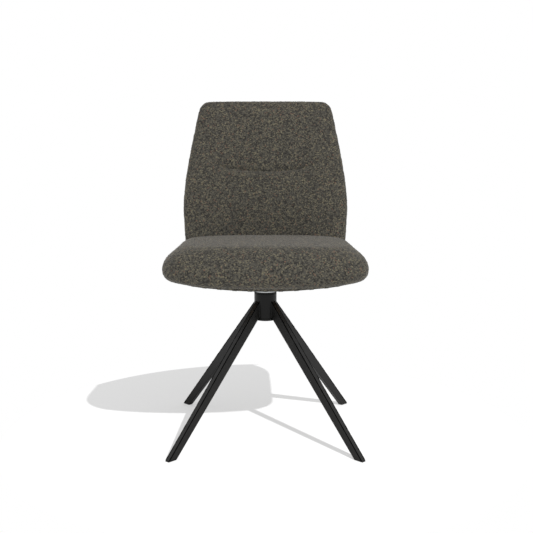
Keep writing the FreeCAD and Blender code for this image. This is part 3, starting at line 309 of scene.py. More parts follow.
def hard_finish(name, dark, light, rough, grain_mm, grain_height, metal=0.0, specular=0.5, with_edge_shade=False):
    """A finish with clouds in its colour and roughness, a fine grain in relief, and painted shade on its
    edges if asked.
    """
    material, tree, output = new_material(name)
    place = own_place(tree)
    grain = add_node(tree, "ShaderNodeTexNoise", Vector=place, Scale=per_metre(grain_mm), Detail=3.0)
    cloud = add_node(tree, "ShaderNodeTexNoise", Vector=place, Scale=per_metre(cloud_mm), Detail=4.0)
    tint = ramp(tree, cloud.outputs[0], [(0.3, dark), (0.7, light)])
    if with_edge_shade:
        tint = paint_edge_shade(tree, tint)
    worn = add_node(tree, "ShaderNodeMapRange", _0=cloud.outputs[0], _1=0.3, _2=0.7,
                    _3=rough - rough_spread, _4=rough + rough_spread)
    bump = add_node(tree, "ShaderNodeBump", Height=grain.outputs[0], Distance=grain_height, Strength=0.5)
    skin = add_node(tree, "ShaderNodeBsdfPrincipled", Base_Color=tint, Roughness=worn.outputs[0],
                    Normal=bump.outputs[0], Metallic=metal, Specular_IOR_Level=specular)
    tree.links.new(skin.outputs[0], output.inputs["Surface"])
    return material


# The legs' finish carries painted shade, nearly black, on its rounded edges.
powder_coat = hard_finish("black_powder_coated_steel", "#0b0a09", "#100f0d", rough=0.4, grain_mm=1.1,
                          grain_height=0.05 * MM, specular=0.34, with_edge_shade=True)
tube_coat = hard_finish("black_powder_coated_tube", "#090908", "#0c0c0b", rough=0.36, grain_mm=1.1,
                        grain_height=0.05 * MM, specular=0.22)
cap_plastic = hard_finish("black_moulded_nylon", "#0a0a09", "#0e0e0c", rough=0.5, grain_mm=0.6,
                          grain_height=0.03 * MM, specular=0.2)
glide_plastic = hard_finish("black_polyethylene", "#0c0b0a", "#11100f", rough=0.6, grain_mm=0.8,
                            grain_height=0.04 * MM, specular=0.3)
bearing_plastic = hard_finish("natural_acetal", "#d9d6cc", "#e4e2da", rough=0.4, grain_mm=0.8,
                              grain_height=0.02 * MM)
zinc_ring = hard_finish("polished_zinc_plate", "#b4b6b7", "#c6c8c8", rough=0.3, grain_mm=0.9,
                        grain_height=0.01 * MM, metal=1.0)
zinc_steel = hard_finish("passivated_zinc_plate", "#a9aaa6", "#c3c1b6", rough=0.38, grain_mm=0.7,
                         grain_height=0.02 * MM, metal=1.0)
print("hard finishes made")

# %% [markdown]
# ## Plywood
# The pan, the back board and the packing block are birch plywood. Its faces show a long
# pale figure and its edges show layers, light and dark in turn. The figure is a stretched
# noise, the layers are soft waves, and the direction of the face picks between them.

# %% Plywood
figure_mm = 9
figure_stretch = 0.12
layer_waves = per_metre(60)
edge_until, face_from = 0.3, 0.5

plywood, tree, output = new_material("birch_plywood")
place = own_place(tree)
stretch = add_node(tree, "ShaderNodeMapping", Vector=place, Scale=(1.0, figure_stretch, 1.0))
figure = add_node(tree, "ShaderNodeTexNoise", Vector=stretch.outputs[0], Scale=per_metre(figure_mm),
                  Detail=5.0, Distortion=0.6)
face_tone = ramp(tree, figure.outputs[0], [(0.3, "#b08a5c"), (0.5, "#c9a577"), (0.7, "#d9bb90")])
layers = add_node(tree, "ShaderNodeTexWave", {"bands_direction": "Z", "wave_profile": "SIN"}, Vector=place,
                  Scale=layer_waves, Distortion=0.4)
edge_tone = ramp(tree, layers.outputs[0], [(0.35, "#8c6a44"), (0.65, "#cfae82")])
facing = add_node(tree, "ShaderNodeNewGeometry")
upright = add_node(tree, "ShaderNodeSeparateXYZ", Vector=facing.outputs["Normal"])
steep = reckon(tree, "ABSOLUTE", upright.outputs["Z"])
pick = add_node(tree, "ShaderNodeMapRange", _0=steep, _1=edge_until, _2=face_from)
wood = add_node(tree, "ShaderNodeMix", {"data_type": "RGBA"}, _0=pick.outputs[0], _6=edge_tone, _7=face_tone)
bump = add_node(tree, "ShaderNodeBump", Height=figure.outputs[0], Distance=0.1 * MM, Strength=0.5)
board = add_node(tree, "ShaderNodeBsdfPrincipled", Base_Color=wood.outputs[2], Normal=bump.outputs[0],
                 Roughness=0.62)
tree.links.new(board.outputs[0], output.inputs["Surface"])
print("plywood figure of", figure_mm, "mm")

# %% [markdown]
# ## The dust cloth
# Under the seat a black non-woven cloth hides the foam. It is pressed from loose fibres
# with a grid of small welded dots, and has no weave at all.

# %% Dust cloth finish
dot_mm = 2.2
mat_mm = 1.4
dot_depth = 0.6

cloth, tree, output = new_material("black_non_woven_cloth")
place = own_place(tree)
dots = add_node(tree, "ShaderNodeTexVoronoi", Vector=place, Scale=per_metre(dot_mm), Randomness=0.25)
mat = add_node(tree, "ShaderNodeTexNoise", Vector=place, Scale=per_metre(mat_mm), Detail=6.0, Roughness=0.7)
tone = ramp(tree, mat.outputs[0], [(0.3, "#161616"), (0.7, "#2c2c2b")])
height = reckon(tree, "MULTIPLY_ADD", dots.outputs["Distance"], dot_depth, mat.outputs[0])
bump = add_node(tree, "ShaderNodeBump", Height=height, Distance=0.3 * MM, Strength=0.6)
fleece = add_node(tree, "ShaderNodeBsdfPrincipled", Base_Color=tone, Normal=bump.outputs[0], Roughness=0.92,
                  Specular_IOR_Level=0.2)
tree.links.new(fleece.outputs[0], output.inputs["Surface"])
print("welded dots of", dot_mm, "mm")

# %% [markdown]
# ## Dressing the rigid pieces
# Each rigid node keeps its CAD shape and gets the finish of what it is made of. The
# record names a material slot for each node, so one table from slot to finish dresses
# them all, and no node can be forgotten.

# %% Finishes by slot
finishes = {
    "black_steel": powder_coat,
    "black_plastic": cap_plastic,
    "glide_plastic": glide_plastic,
    "bearing_plastic": bearing_plastic,
    "zinc_ring": zinc_ring,
    "zinc_steel": zinc_steel,
    "plywood": plywood,
    "melange_fabric": boucle,
    "dust_cloth": cloth,
}
slot_of = {part["node"]: part["material_slot"] for part in frame["record"]["subparts"]}
for name, node in nodes.items():
    finish = tube_coat if name == "column_tube" else finishes[slot_of[name]]
    for holder in node.material_slots:
        holder.material = finish
print("dressed", len(slot_of), "nodes")

# %% [markdown]
# ## Upholstery: how a cover gets its puff
# A cushion is foam under a tight cover. The cover is tied down where it meets the wood
# and bulges a little everywhere else. That is a job for the cloth solver: the cushion is
# copied, remeshed into even squares, drawn in a little, and blown up from the inside
# while every point that touches wood or steel stays still. How far a point may move is
# capped. Then the pad is eased and brought back to a little over its drawn size, as thick
# as the cloth on it. The last step gives each loop of boucle its own small rise, because
# a thick cloth has a rough outline too.

# %% Helpers for meshes
def coordinates(mesh):
    """Vertex coordinates of a mesh as rows of three numbers."""
    flat = np.empty(3 * len(mesh.vertices))
    mesh.vertices.foreach_get("co", flat)
    return flat.reshape(-1, 3)


def normals(mesh):
    """Vertex normals of a mesh as rows of three numbers."""
    return np.array([vertex.normal[:] for vertex in mesh.vertices])


def move_to(mesh, points):
    """Puts the vertices of a mesh at these coordinates."""
    mesh.vertices.foreach_set("co", points.ravel())
    mesh.update()


def link(name, mesh):
    """A new object in the scene, at the origin."""
    piece = bpy.data.objects.new(name, mesh)
    scene.collection.objects.link(piece)
    return piece


def bake_modifiers(piece):
    """Turns what the modifiers show into the object's own mesh, and drops them."""
    shown = piece.evaluated_get(bpy.context.evaluated_depsgraph_get())
    mesh = bpy.data.meshes.new_from_object(shown)
    piece.modifiers.clear()
    old = piece.data
    piece.data = mesh
    bpy.data.meshes.remove(old)


def smooth_shade(piece):
    """Shades every face of a piece smoothly."""
    piece.data.polygons.foreach_set("use_smooth", [True] * len(piece.data.polygons))
    piece.data.update()


def joined(pieces, name):
    """Joins all pieces into the first, which gets the name."""
    with bpy.context.temp_override(active_object=pieces[0], selected_editable_objects=pieces):
        bpy.ops.object.join()
    pieces[0].name = name
    return pieces[0]


def smooth_step(share):
    """A share from 0 to 1 that leaves both ends gently."""
    return share * share * (3 - 2 * share)


def surface_of(mesh):
    """A mesh's faces, ready to find what is nearest or what a ray meets."""
    return BVHTree.FromPolygons([vertex.co for vertex in mesh.vertices],
                                [face.vertices[:] for face in mesh.polygons])


def freedom(mesh, neighbours, near, far):
    """For each vertex 0 where it touches a neighbour and 1 where it is far from all."""
    trees = [surface_of(nodes[name].data) for name in neighbours]
    free = np.ones(len(mesh.vertices))
    for number, vertex in enumerate(mesh.vertices):
        gap = far
        for wood in trees:
            hit = wood.find_nearest(vertex.co, far)
            if hit[0] is not None:
                gap = min(gap, hit[3])
        share = (gap - near) / (far - near)
        free[number] = min(1.0, max(0.0, share))
    return free


# %% Cover from a cushion
voxel = 6 * MM
tied_within, free_beyond = 3 * MM, 14 * MM
calm_within, rough_beyond = 2 * MM, 6 * MM
draw_in = 0.5 * MM
swell_cap = 4 * MM
blow_frames = 20
air_pressure = 4.0
cloth_mass = 0.3
cloth_stiffness = 25
cloth_bending = 2.0
trim_share = 0.75
trim_limit = 8 * MM
loop_rise = 0.3 * MM


def spread_out(mesh, amounts, steps):
    """Numbers on the vertices, averaged with those of their neighbours again and again."""
    ends = np.empty(2 * len(mesh.edges), dtype=int)
    mesh.edges.foreach_get("vertices", ends)
    one, other = ends.reshape(-1, 2).T
    count = np.bincount(one, minlength=len(amounts)) + np.bincount(other, minlength=len(amounts))
    for step in range(steps):
        around = np.bincount(one, amounts[other], len(amounts))
        around = around + np.bincount(other, amounts[one], len(amounts))
        amounts = 0.5 * amounts + 0.5 * around / np.maximum(count, 1)
    return amounts


def blow_up(piece, free):
    """Blows a pad up like a tight bag. Points that aren't free stay, the others move up to the cap."""
    start = coordinates(piece.data)
    held = piece.vertex_groups.new(name="held")
    for number, share in enumerate(free):
        held.add([number], float(1 - share), "REPLACE")
    blow = piece.modifiers.new("blow", "CLOTH")
    blow.settings.quality = 5
    blow.settings.mass = cloth_mass
    blow.settings.tension_stiffness = cloth_stiffness
    blow.settings.compression_stiffness = cloth_stiffness
    blow.settings.bending_stiffness = cloth_bending
    blow.settings.vertex_group_mass = "held"
    blow.settings.use_pressure = True
    blow.settings.uniform_pressure_force = air_pressure
    blow.settings.effector_weights.gravity = 0
    blow.point_cache.frame_start = 1
    blow.point_cache.frame_end = blow_frames
    for number in range(1, blow_frames + 1):
        scene.frame_set(number)
    blown = piece.evaluated_get(bpy.context.evaluated_depsgraph_get())
    moved = coordinates(blown.data) - start
    piece.modifiers.clear()
    scene.frame_set(1)
    length = np.linalg.norm(moved, axis=1)
    print(piece.name, "swelled by up to", round(float(length.max()) / MM, 1), "mm, mean",
          round(float(length.mean()) / MM, 2))
    share = swell_cap * np.tanh(length / swell_cap) / np.maximum(length, 1e-9)
    move_to(piece.data, start + moved * share[:, None])
    piece.vertex_groups.clear()


def trim_to(piece, drawn, free, trim_steps, proud_by):
    """Brings a pad to its drawn size and a little more, and leaves its own soft shape on top."""
    points, outward = coordinates(piece.data), normals(piece.data)
    proud = np.zeros(len(points))
    for number, point in enumerate(points):
        near = drawn.find_nearest(Vector(point))[0]
        proud[number] = (Vector(point) - near).dot(Vector(outward[number]))
    proud = np.clip(proud, -trim_limit, trim_limit)
    print(piece.name, "stands proud by", round(float(np.median(proud)) / MM, 2), "mm before its trim")
    trim = (spread_out(piece.data, proud, trim_steps) * trim_share - proud_by) * free
    move_to(piece.data, points - outward * trim[:, None])


def puffed_cover(name, node, neighbours, seed, ease_steps, trim_steps, proud_by):
    """A padded cover: a remeshed copy of a CAD cushion, blown up, eased, trimmed and roughened."""
    piece = link(name, nodes[node].data.copy())
    shape = bmesh.new()
    shape.from_mesh(piece.data)
    bmesh.ops.remove_doubles(shape, verts=shape.verts, dist=0.01 * MM)
    drawn = BVHTree.FromBMesh(shape)
    shape.to_mesh(piece.data)
    shape.free()
    piece.data.materials.clear()
    remesh = piece.modifiers.new("even_squares", "REMESH")
    remesh.mode = "VOXEL"
    remesh.voxel_size = voxel
    soften = piece.modifiers.new("soften", "SMOOTH")
    soften.factor = 0.5
    soften.iterations = 2
    bake_modifiers(piece)
    free = freedom(piece.data, neighbours, tied_within, free_beyond)
    move_to(piece.data, coordinates(piece.data) - normals(piece.data) * (draw_in * free)[:, None])
    blow_up(piece, free)
    points = coordinates(piece.data)
    eased = np.stack([spread_out(piece.data, column, ease_steps) for column in points.T], axis=1)
    move_to(piece.data, points + (eased - points) * free[:, None])
    trim_to(piece, drawn, free, trim_steps, proud_by)
    finer = piece.modifiers.new("finer", "SUBSURF")
    finer.levels = 1
    finer.render_levels = 1
    bake_modifiers(piece)
    rough = np.random.default_rng(seed).normal(0.0, 1.0, len(piece.data.vertices))
    free = freedom(piece.data, neighbours, calm_within, rough_beyond)
    move_to(piece.data, coordinates(piece.data) + normals(piece.data) * (loop_rise * rough * free)[:, None])
    piece.data.materials.append(boucle)
    smooth_shade(piece)
    return piece


# %% [markdown]
# ## The seat
# The seat is one thick pad on a dished plywood pan: a low dome with a waterfall front,
# widest a little below the middle of its height, and tucked in underneath.

# %% Seat cover
seat_cover = puffed_cover("seat_cover", "seat_cushion", ["seat_pan", "pan_inserts"], seed=11,
                          ease_steps=18, trim_steps=60, proud_by=2.6 * MM)
print("seat cover has", len(seat_cover.data.polygons), "faces")

# %% [markdown]
# ## The hem under the seat
# The cover is longer than the pad. It is pulled round the edge of the plywood and stapled
# underneath, where it lies in small gathers at the corners. The hem is swept along the
# pan's outline: at each step the same little cross-section stands on the wood's own
# underside, whose height a ray finds.

# %% The pan's outline
outline_steps = 520
dish_rise = 52 * MM
ray_start = 200 * MM
search_mm = (0, 3, 6, 12, 20)
search_ways = 8
look_ahead = 4
gentle_turn, corner_turn = 0.15, 0.50
pan_mesh = nodes["seat_pan"].data
pan_surface = surface_of(pan_mesh)
deepest = float(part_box("seat_pan")[0][2])


def pan_underside(x, y):
    """Height of the pan's underside over a point, or beside it where a hole leaves no wood."""
    for reach in search_mm:
        for way in range(search_ways):
            turn = way * 2 * math.pi / search_ways
            spot = Vector((x + reach * MM * math.cos(turn), y + reach * MM * math.sin(turn), ray_start))
            hit = pan_surface.ray_cast(spot, Vector((0, 0, 1)))[0]
            if hit and hit.z < deepest + dish_rise:
                return hit.z
    raise ValueError("no wood near %.3f %.3f" % (x, y))


def pan_outline():
    """Points at even steps round the pan, seen from above, and the way out at each."""
    flat = [vertex.co.xy for vertex in pan_mesh.vertices]
    ring = np.array([flat[number] for number in convex_hull_2d(flat)])
    ring = np.vstack([ring, ring[:1]])
    along = np.concatenate([[0], np.cumsum(np.linalg.norm(np.diff(ring, axis=0), axis=1))])
    steps = np.linspace(0, along[-1], outline_steps, endpoint=False)
    ring = np.stack([np.interp(steps, along, ring[:, axis]) for axis in (0, 1)], axis=1)
    ahead = np.roll(ring, -look_ahead, axis=0) - np.roll(ring, look_ahead, axis=0)
    ahead /= np.linalg.norm(ahead, axis=1)[:, None]
    outward = np.stack([ahead[:, 1], -ahead[:, 0]], axis=1)
    if (outward * ring).sum() < 0:
        outward = -outward
    return ring, outward, steps


outline, way_out, along_outline = pan_outline()
turning = np.roll(way_out, -2 * look_ahead, axis=0) - np.roll(way_out, 2 * look_ahead, axis=0)
turning = np.linalg.norm(turning, axis=1)
corner_share = np.clip((turning - gentle_turn) / (corner_turn - gentle_turn), 0, 1)
print("pan outline is", round(float(along_outline[-1]), 3), "m long")

# %% Hem
hem_width = 28 * MM
gather_mm = 8.0
gather_height = 0.7 * MM
# Points of the section in mm: outward from the pan's outline, and up from its underside.
hem_section = [(10.5, 13.5), (8.7, 9.5), (7.0, 5.5), (5.6, 2.0), (4.2, -0.5), (2.3, -1.35), (0.0, -1.5),
               (-9.0, -1.45), (-18.0, -1.4), (-27.0, -1.35), (-28.3, -0.9), (-28.0, -0.15), (-14.0, -0.15),
               (0.5, -0.15), (2.8, 0.6), (3.0, 5.0), (3.5, 13.0)]


def underside_at(spot, outward, offset):
    """Height of the pan's underside at an offset from its outline, also just outside it."""
    inside = spot + outward * min(offset, -1.0 * MM)
    return pan_underside(*inside)


shape = bmesh.new()
rings = []
for number, (spot, outward) in enumerate(zip(outline, way_out)):
    wave = math.sin(2 * math.pi * along_outline[number] / (gather_mm * MM))
    fold = gather_height * corner_share[number] * (0.5 + 0.5 * wave)
    ring = []
    for offset_mm, rise_mm in hem_section:
        offset = offset_mm * MM
        drop = fold if rise_mm < -1 and offset_mm < 3 else 0
        height = underside_at(spot, outward, offset) + rise_mm * MM - drop
        ring.append(shape.verts.new((*(spot + outward * offset), height)))
    rings.append(ring)
for ring, following in zip(rings, rings[1:] + rings[:1]):
    for one, other in zip(range(len(ring)), [*range(1, len(ring)), 0]):
        shape.faces.new((ring[one], ring[other], following[other], following[one]))
bmesh.ops.recalc_face_normals(shape, faces=shape.faces)
hem_mesh = bpy.data.meshes.new("seat_hem")
shape.to_mesh(hem_mesh)
shape.free()
hem_mesh.materials.append(boucle)
seat_hem = link("seat_hem", hem_mesh)
smooth_shade(seat_hem)
joined([seat_cover, seat_hem], "seat_cover")
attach(seat_cover, "seat")
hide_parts("seat_cushion")
print("with its hem it has", len(seat_cover.data.polygons), "faces")

# %% [markdown]
# ## The back
# The back is a plywood board with foam on both sides. The front is thicker at the small
# of the back, and a smile-shaped crease is sewn in above that bulge.

# %% Back covers
back_neighbours = ["back_board", "back_bracket_left", "back_bracket_right", "board_inserts"]
back_puff = {"ease_steps": 6, "trim_steps": 24, "proud_by": 2.0 * MM}
back_cover = puffed_cover("back_cover", "back_cushion", back_neighbours + ["back_rear_panel"], seed=23,
                          **back_puff)
rear_cover = puffed_cover("rear_cover", "back_rear_panel", back_neighbours + ["back_cushion"], seed=37,
                          **back_puff)
print("back covers have", len(back_cover.data.polygons), "and", len(rear_cover.data.polygons), "faces")

# %% [markdown]
# ## The crease
# A remesh in 6 mm squares can't hold a sharp fold, so the crease is cut in afterwards. In
# the back's own frame it is an arc like a smile. The mesh gets finer squares beside it,
# and each point there moves by its distance from the arc: a narrow valley, a hollow above
# it that dies away, and a rounded shoulder below that juts forward and catches the light.

# %% Crease
back_lean = math.radians(13.9)
back_base = np.array([0, 186.2, 412.0]) * MM
crease_up = 248 * MM
crease_radius = 536 * MM
crease_full, crease_end = 95 * MM, 172 * MM
valley_depth, valley_width = 1.2 * MM, 1.7 * MM
hollow_depth, hollow_reach = 10.5 * MM, 42 * MM
shoulder_reach = 13 * MM
fine_reaches = 9 * MM, 4 * MM
fine_facing = 0.3
side_on, facing_span = 0.2, 0.4
back_up = np.array([0, math.sin(back_lean), math.cos(back_lean)])
back_front = np.array([0, -math.cos(back_lean), math.sin(back_lean)])


def crease_place(points):
    """How far each point is above the crease, and its share from 1 in the middle to 0 at the ends."""
    up = (points - back_base) @ back_up
    above = crease_radius - np.hypot(points[:, 0], up - crease_up - crease_radius)
    share = np.clip((crease_end - np.abs(points[:, 0])) / (crease_end - crease_full), 0, 1)
    return above, smooth_step(share)


def refine_beside_crease(mesh, reach):
    """Halves the squares within reach of the crease, on the front."""
    shape = bmesh.new()
    shape.from_mesh(mesh)
    shape.normal_update()
    points = np.array([vertex.co[:] for vertex in shape.verts])
    above, share = crease_place(points)
    chosen = (np.abs(above) < reach) & (share > 0)
    edges = [edge for edge in shape.edges if all(
        chosen[vertex.index] and vertex.normal.dot(Vector(back_front)) > fine_facing
        for vertex in edge.verts)]
    bmesh.ops.subdivide_edges(shape, edges=edges, cuts=1, use_grid_fill=True)
    shape.to_mesh(mesh)
    shape.free()


for reach in fine_reaches:
    refine_beside_crease(back_cover.data, reach)
points = coordinates(back_cover.data)
above, share = crease_place(points)
fronting = np.clip((normals(back_cover.data) @ back_front - side_on) / facing_span, 0, 1)
sink = valley_depth * np.exp(-(above / valley_width) ** 2)
upper = np.clip(above / hollow_reach, 0, None)
lower = np.clip(1 + above / shoulder_reach, 0, 1)
sink += hollow_depth * np.where(above > 0, np.exp(-upper), smooth_step(lower))
move_to(back_cover.data, points - back_front * (sink * share * fronting)[:, None])
smooth_shade(back_cover)
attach(back_cover, "seat")
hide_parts("back_cushion")
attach(rear_cover, "seat")
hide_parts("back_rear_panel")
print("the creased back cover has", len(back_cover.data.polygons), "faces")

# %% [markdown]
# ## The dust cloth
# The cloth under the pan is cut to a horseshoe that leaves room for the plate and the
# brackets, stretched over the hem and stapled. Its flat cut is the shadow of its CAD
# solid, sliced into small squares by upright planes, so its edge stays exact. Each point
# then hangs a set way below the wood: lower over the hem, and a little lower still
# between the staples.

# %% Dust cloth
cloth_step = 6 * MM
cloth_thickness = 0.6 * MM
cloth_drop = 0.75 * MM
cloth_sag = 0.25 * MM
lap_beside_hem, lap_width = 9 * MM, 8 * MM
over_hem = 1.6 * MM
over_gathers = 0.7 * MM
staple_step = 34 * MM
faces_down = -0.7


def dust_cloth_height(x, y):
    """Height of the middle of the dust cloth above the floor."""
    gaps = np.hypot(outline[:, 0] - x, outline[:, 1] - y)
    nearest = int(gaps.argmin())
    inset = float(gaps[nearest])
    lap = smooth_step(min(1.0, max(0.0, (hem_width + lap_beside_hem - inset) / lap_width)))
    sag = cloth_sag * (1 - math.cos(2 * math.pi * along_outline[nearest] / staple_step))
    lower = cloth_drop + lap * (over_hem + over_gathers * corner_share[nearest]) + sag * (1 - lap)
    return pan_underside(x, y) - lower


shape = bmesh.new()
shape.from_mesh(nodes["dust_cover"].data)
shape.normal_update()
bmesh.ops.delete(shape, geom=[face for face in shape.faces if face.normal.z > faces_down],
                 context="FACES")
for vertex in shape.verts:
    vertex.co.z = 0
bmesh.ops.remove_doubles(shape, verts=shape.verts, dist=0.02 * MM)
bmesh.ops.dissolve_limit(shape, angle_limit=math.radians(1), verts=shape.verts, edges=shape.edges)
cloth_low, cloth_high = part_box("dust_cover")
for axis in (0, 1):
    across = Vector((1 - axis, axis, 0))
    for distance in np.arange(cloth_low[axis] + cloth_step / 2, cloth_high[axis], cloth_step):
        bmesh.ops.bisect_plane(shape, geom=shape.verts[:] + shape.edges[:] + shape.faces[:],
                               dist=0.001 * MM, plane_co=across * float(distance), plane_no=across)
bmesh.ops.remove_doubles(shape, verts=shape.verts, dist=0.05 * MM)
for vertex in shape.verts:
    vertex.co.z = dust_cloth_height(vertex.co.x, vertex.co.y)
bmesh.ops.recalc_face_normals(shape, faces=shape.faces)
if sum(face.normal.z * face.calc_area() for face in shape.faces) > 0:
    bmesh.ops.reverse_faces(shape, faces=shape.faces)
cloth_area = sum(face.calc_area() for face in shape.faces)
cloth_mesh = bpy.data.meshes.new("dust_cloth")
shape.to_mesh(cloth_mesh)
shape.free()
cloth_mesh.materials.append(cloth)
dust_cloth = link("dust_cloth", cloth_mesh)
thicken = dust_cloth.modifiers.new("thicken", "SOLIDIFY")
thicken.thickness = cloth_thickness
thicken.offset = 0
bake_modifiers(dust_cloth)
smooth_shade(dust_cloth)
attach(dust_cloth, "seat")
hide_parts("dust_cover")

# %% [markdown]
# ## The staples
# A staple is a bent wire, and some thirty of them follow the cloth's edge. That is work
# for Geometry Nodes: the path is cut into even steps, a short bent wire is set on each
# point along the path, and the copies are turned into real geometry.

# %% A tree that sets staples along a path
staple_width = 10 * MM
staple_leg = 1.5 * MM
staple_wire = 0.5 * MM


def new_geometry_tree(name, sizes):
    """A node group that takes a path, named sizes and a finish, and gives a mesh."""
    tree = bpy.data.node_groups.new(name, "GeometryNodeTree")
    tree.interface.new_socket("Path", in_out="INPUT", socket_type="NodeSocketGeometry")
    for size in sizes:
        tree.interface.new_socket(size, in_out="INPUT", socket_type="NodeSocketFloat")
    tree.interface.new_socket("Finish", in_out="INPUT", socket_type="NodeSocketMaterial")
    tree.interface.new_socket("Mesh", in_out="OUTPUT", socket_type="NodeSocketGeometry")
    return tree, tree.nodes.new("NodeGroupInput").outputs


def point_of(tree, x=0.0, y=0.0, z=0.0):
    """A vector from three numbers or sockets."""
    return add_node(tree, "ShaderNodeCombineXYZ", X=x, Y=y, Z=z).outputs[0]


def end_tree(tree, geometry, finish):
    """Real geometry, the finish and the way out."""
    real = add_node(tree, "GeometryNodeRealizeInstances", _0=geometry)
    dressed = add_node(tree, "GeometryNodeSetMaterial", Geometry=real.outputs[0], Material=finish)
    add_node(tree, "NodeGroupOutput", _0=dressed.outputs[0])


stapling, given = new_geometry_tree("stapling", ["Step", "Width", "Leg", "Wire"])
path = add_node(stapling, "GeometryNodeMeshToCurve", _0=given["Path"])
stops = add_node(stapling, "GeometryNodeResampleCurve", {"mode": "LENGTH"}, Curve=path.outputs[0],
                 Length=given["Step"])
half = reckon(stapling, "MULTIPLY", given["Width"], 0.5)
minus = reckon(stapling, "MULTIPLY", half, -1.0)
crown = add_node(stapling, "GeometryNodeCurvePrimitiveLine", Start=point_of(stapling, x=minus),
                 End=point_of(stapling, x=half))
legs = [add_node(stapling, "GeometryNodeCurvePrimitiveLine", Start=point_of(stapling, x=side),
                 End=point_of(stapling, x=side, z=given["Leg"])) for side in (minus, half)]
wire = add_node(stapling, "GeometryNodeJoinGeometry")
for part in [crown, *legs]:
    stapling.links.new(part.outputs[0], wire.inputs[0])
section = add_node(stapling, "GeometryNodeCurvePrimitiveCircle", Resolution=8, Radius=given["Wire"])
staple = add_node(stapling, "GeometryNodeCurveToMesh", Curve=wire.outputs[0],
                  Profile_Curve=section.outputs[0], Fill_Caps=True)
tangent = add_node(stapling, "GeometryNodeInputTangent")
turn = add_node(stapling, "FunctionNodeAlignRotationToVector", {"axis": "X"}, Vector=tangent.outputs[0])
set_down = add_node(stapling, "GeometryNodeInstanceOnPoints", Points=stops.outputs[0],
                    Instance=staple.outputs[0], Rotation=turn.outputs[0])
end_tree(stapling, set_down.outputs[0], given["Finish"])


def grown(name, points, closed, tree, sizes, finish):
    """A piece that a node tree grows along a path, as a plain mesh."""
    mesh = bpy.data.meshes.new(name)
    links = [(number, number + 1) for number in range(len(points) - 1)]
    mesh.from_pydata([tuple(point) for point in points], links + [(len(points) - 1, 0)] * closed, [])
    piece = link(name, mesh)
    grow = piece.modifiers.new("grow", "NODES")
    grow.node_group = tree
    for socket in tree.interface.items_tree:
        if socket.in_out == "INPUT" and socket.name in sizes:
            grow[socket.identifier] = sizes[socket.name]
        elif socket.in_out == "INPUT" and socket.name == "Finish":
            grow[socket.identifier] = finish
    bake_modifiers(piece)
    return piece


# %% Staples
edge_inset = 16 * MM
open_rear = 126 * MM
crown_drop = cloth_thickness / 2 + 0.3 * MM
staple_sizes = {"Step": staple_step, "Width": staple_width, "Leg": staple_leg, "Wire": staple_wire}

edge_path = [spot - outward * edge_inset for spot, outward in zip(outline, way_out)]
rear_most = int(np.argmax(outline[:, 1]))
edge_path = edge_path[rear_most:] + edge_path[:rear_most]
edge_path = [spot for spot in edge_path if spot[1] <= 0 or abs(spot[0]) >= open_rear]
edge_path = [(*spot, dust_cloth_height(*spot) - crown_drop) for spot in edge_path]
staples = grown("dust_cloth_staples", edge_path, False, stapling, staple_sizes, zinc_steel)
smooth_shade(staples)
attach(staples, "seat")
print("staples have", len(staples.data.polygons), "faces")

# %% [markdown]
# ## The weld beads
# Each leg is welded to the column all round. The bead is a thin string of overlapping
# drops of steel, softened by the powder coat. The leg's own end, where it touches the
# tube, gives the path.

# %% A tree that lays a bead along a path
bead_radius = 0.9 * MM
ripple_step = 1.1 * MM
ripple_from, ripple_to = 0.8, 1.2

beading, given = new_geometry_tree("beading", ["Step", "Radius"])
path = add_node(beading, "GeometryNodeMeshToCurve", _0=given["Path"])
drops = add_node(beading, "GeometryNodeResampleCurve", {"mode": "LENGTH"}, Curve=path.outputs[0],
                 Length=given["Step"])
ripple = add_node(beading, "FunctionNodeRandomValue", {"data_type": "FLOAT"}, Seed=5, _2=ripple_from,
                  _3=ripple_to)
section = add_node(beading, "GeometryNodeCurvePrimitiveCircle", Resolution=10, Radius=given["Radius"])
bead = add_node(beading, "GeometryNodeCurveToMesh", Curve=drops.outputs[0], Profile_Curve=section.outputs[0],
                Scale=ripple.outputs[1])
end_tree(beading, bead.outputs[0], given["Finish"])


# %% Weld beads
tube_radius = 28.2 * MM
on_tube = 0.15 * MM
leg_names = sorted(name for name in nodes if name.startswith("leg_"))


def weld_path(name):
    """The outer outline of a leg's end on the tube, as points in order."""
    ends = [vertex.co for vertex in nodes[name].data.vertices
            if abs(math.hypot(vertex.co.x, vertex.co.y) - tube_radius) < on_tube]
    centre = math.atan2(sum(end.y for end in ends), sum(end.x for end in ends))
    turns = [(math.atan2(end.y, end.x) - centre + math.pi) % (2 * math.pi) - math.pi for end in ends]
    unrolled = [Vector((tube_radius * turn, end.z)) for turn, end in zip(turns, ends)]
    ring = [unrolled[number] for number in convex_hull_2d(unrolled)]
    return [(tube_radius * math.cos(centre + spot.x / tube_radius),
             tube_radius * math.sin(centre + spot.x / tube_radius), spot.y) for spot in ring]


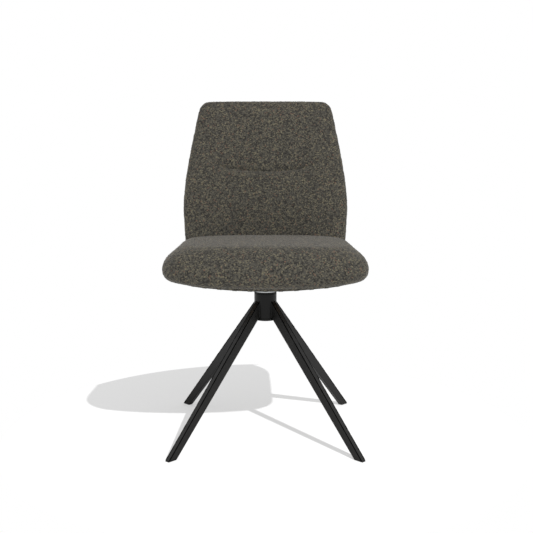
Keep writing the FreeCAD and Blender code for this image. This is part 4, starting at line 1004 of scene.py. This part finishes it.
bead_sizes = {"Step": ripple_step, "Radius": bead_radius}
weld_beads = joined([grown(name + "_weld", weld_path(name), True, beading, bead_sizes, powder_coat)
                     for name in leg_names], "weld_beads")
smooth_shade(weld_beads)
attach(weld_beads, "base")
print("weld beads have", len(weld_beads.data.polygons), "faces")

# %% [markdown]
# ## The dark line along each leg
# A leg is folded from sheet, and its two halves meet along its upper edges. The dark line of that joint is
# painted shade: a thin near-black, nearly glossless string laid into the rounded edge, from the foot to the
# column.

# %% Leg seams
seam_radius = 1.25 * MM
seam_sink = 0.75 * MM
seam_step = 6 * MM
leg_half = 6.75 * MM

# Near black and nearly without gloss: the painted shade of the joint.
joint_shade_black = hard_finish("painted_joint_shade", "#030303", "#050505", rough=0.9, grain_mm=0.8,
                         grain_height=0.02 * MM, specular=0.02)


def leg_seam_ends(name, side):
    """Both ends of the joint on one upper edge of a leg."""
    corners = [vertex.co for vertex in nodes[name].data.vertices]
    turn = math.atan2(sum(spot.y for spot in corners), sum(spot.x for spot in corners))
    ahead = Vector((math.cos(turn), math.sin(turn), 0))
    sideways = Vector((-math.sin(turn), math.cos(turn), 0))
    foot = max(corners, key=lambda spot: spot.dot(ahead))
    root = max(corners, key=lambda spot: spot.z)
    line = Vector((foot.dot(ahead) - root.dot(ahead), foot.z - root.z)).normalized()
    inward = Vector((line.y, -line.x))
    if inward.x > 0:
        inward = -inward
    ends = []
    for spot in (foot, root):
        middle = Vector((spot.dot(ahead), spot.z)) + inward * seam_sink
        ends.append(ahead * middle.x + sideways * side * (leg_half - seam_sink) + Vector((0, 0, middle.y)))
    return ends


seam_sizes = {"Step": seam_step, "Radius": seam_radius}
leg_seams = joined([grown(name + "_seam", leg_seam_ends(name, side), False, beading, seam_sizes, joint_shade_black)
                    for name in leg_names for side in (-1, 1)], "leg_seams")
smooth_shade(leg_seams)
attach(leg_seams, "base")
print("leg seams have", len(leg_seams.data.polygons), "faces")

# %% [markdown]
# ## The size of it all
# The dressed chair may stand a little past the imported model, as a cover is thicker than its drawing.

# %% Sizes and the end
import json
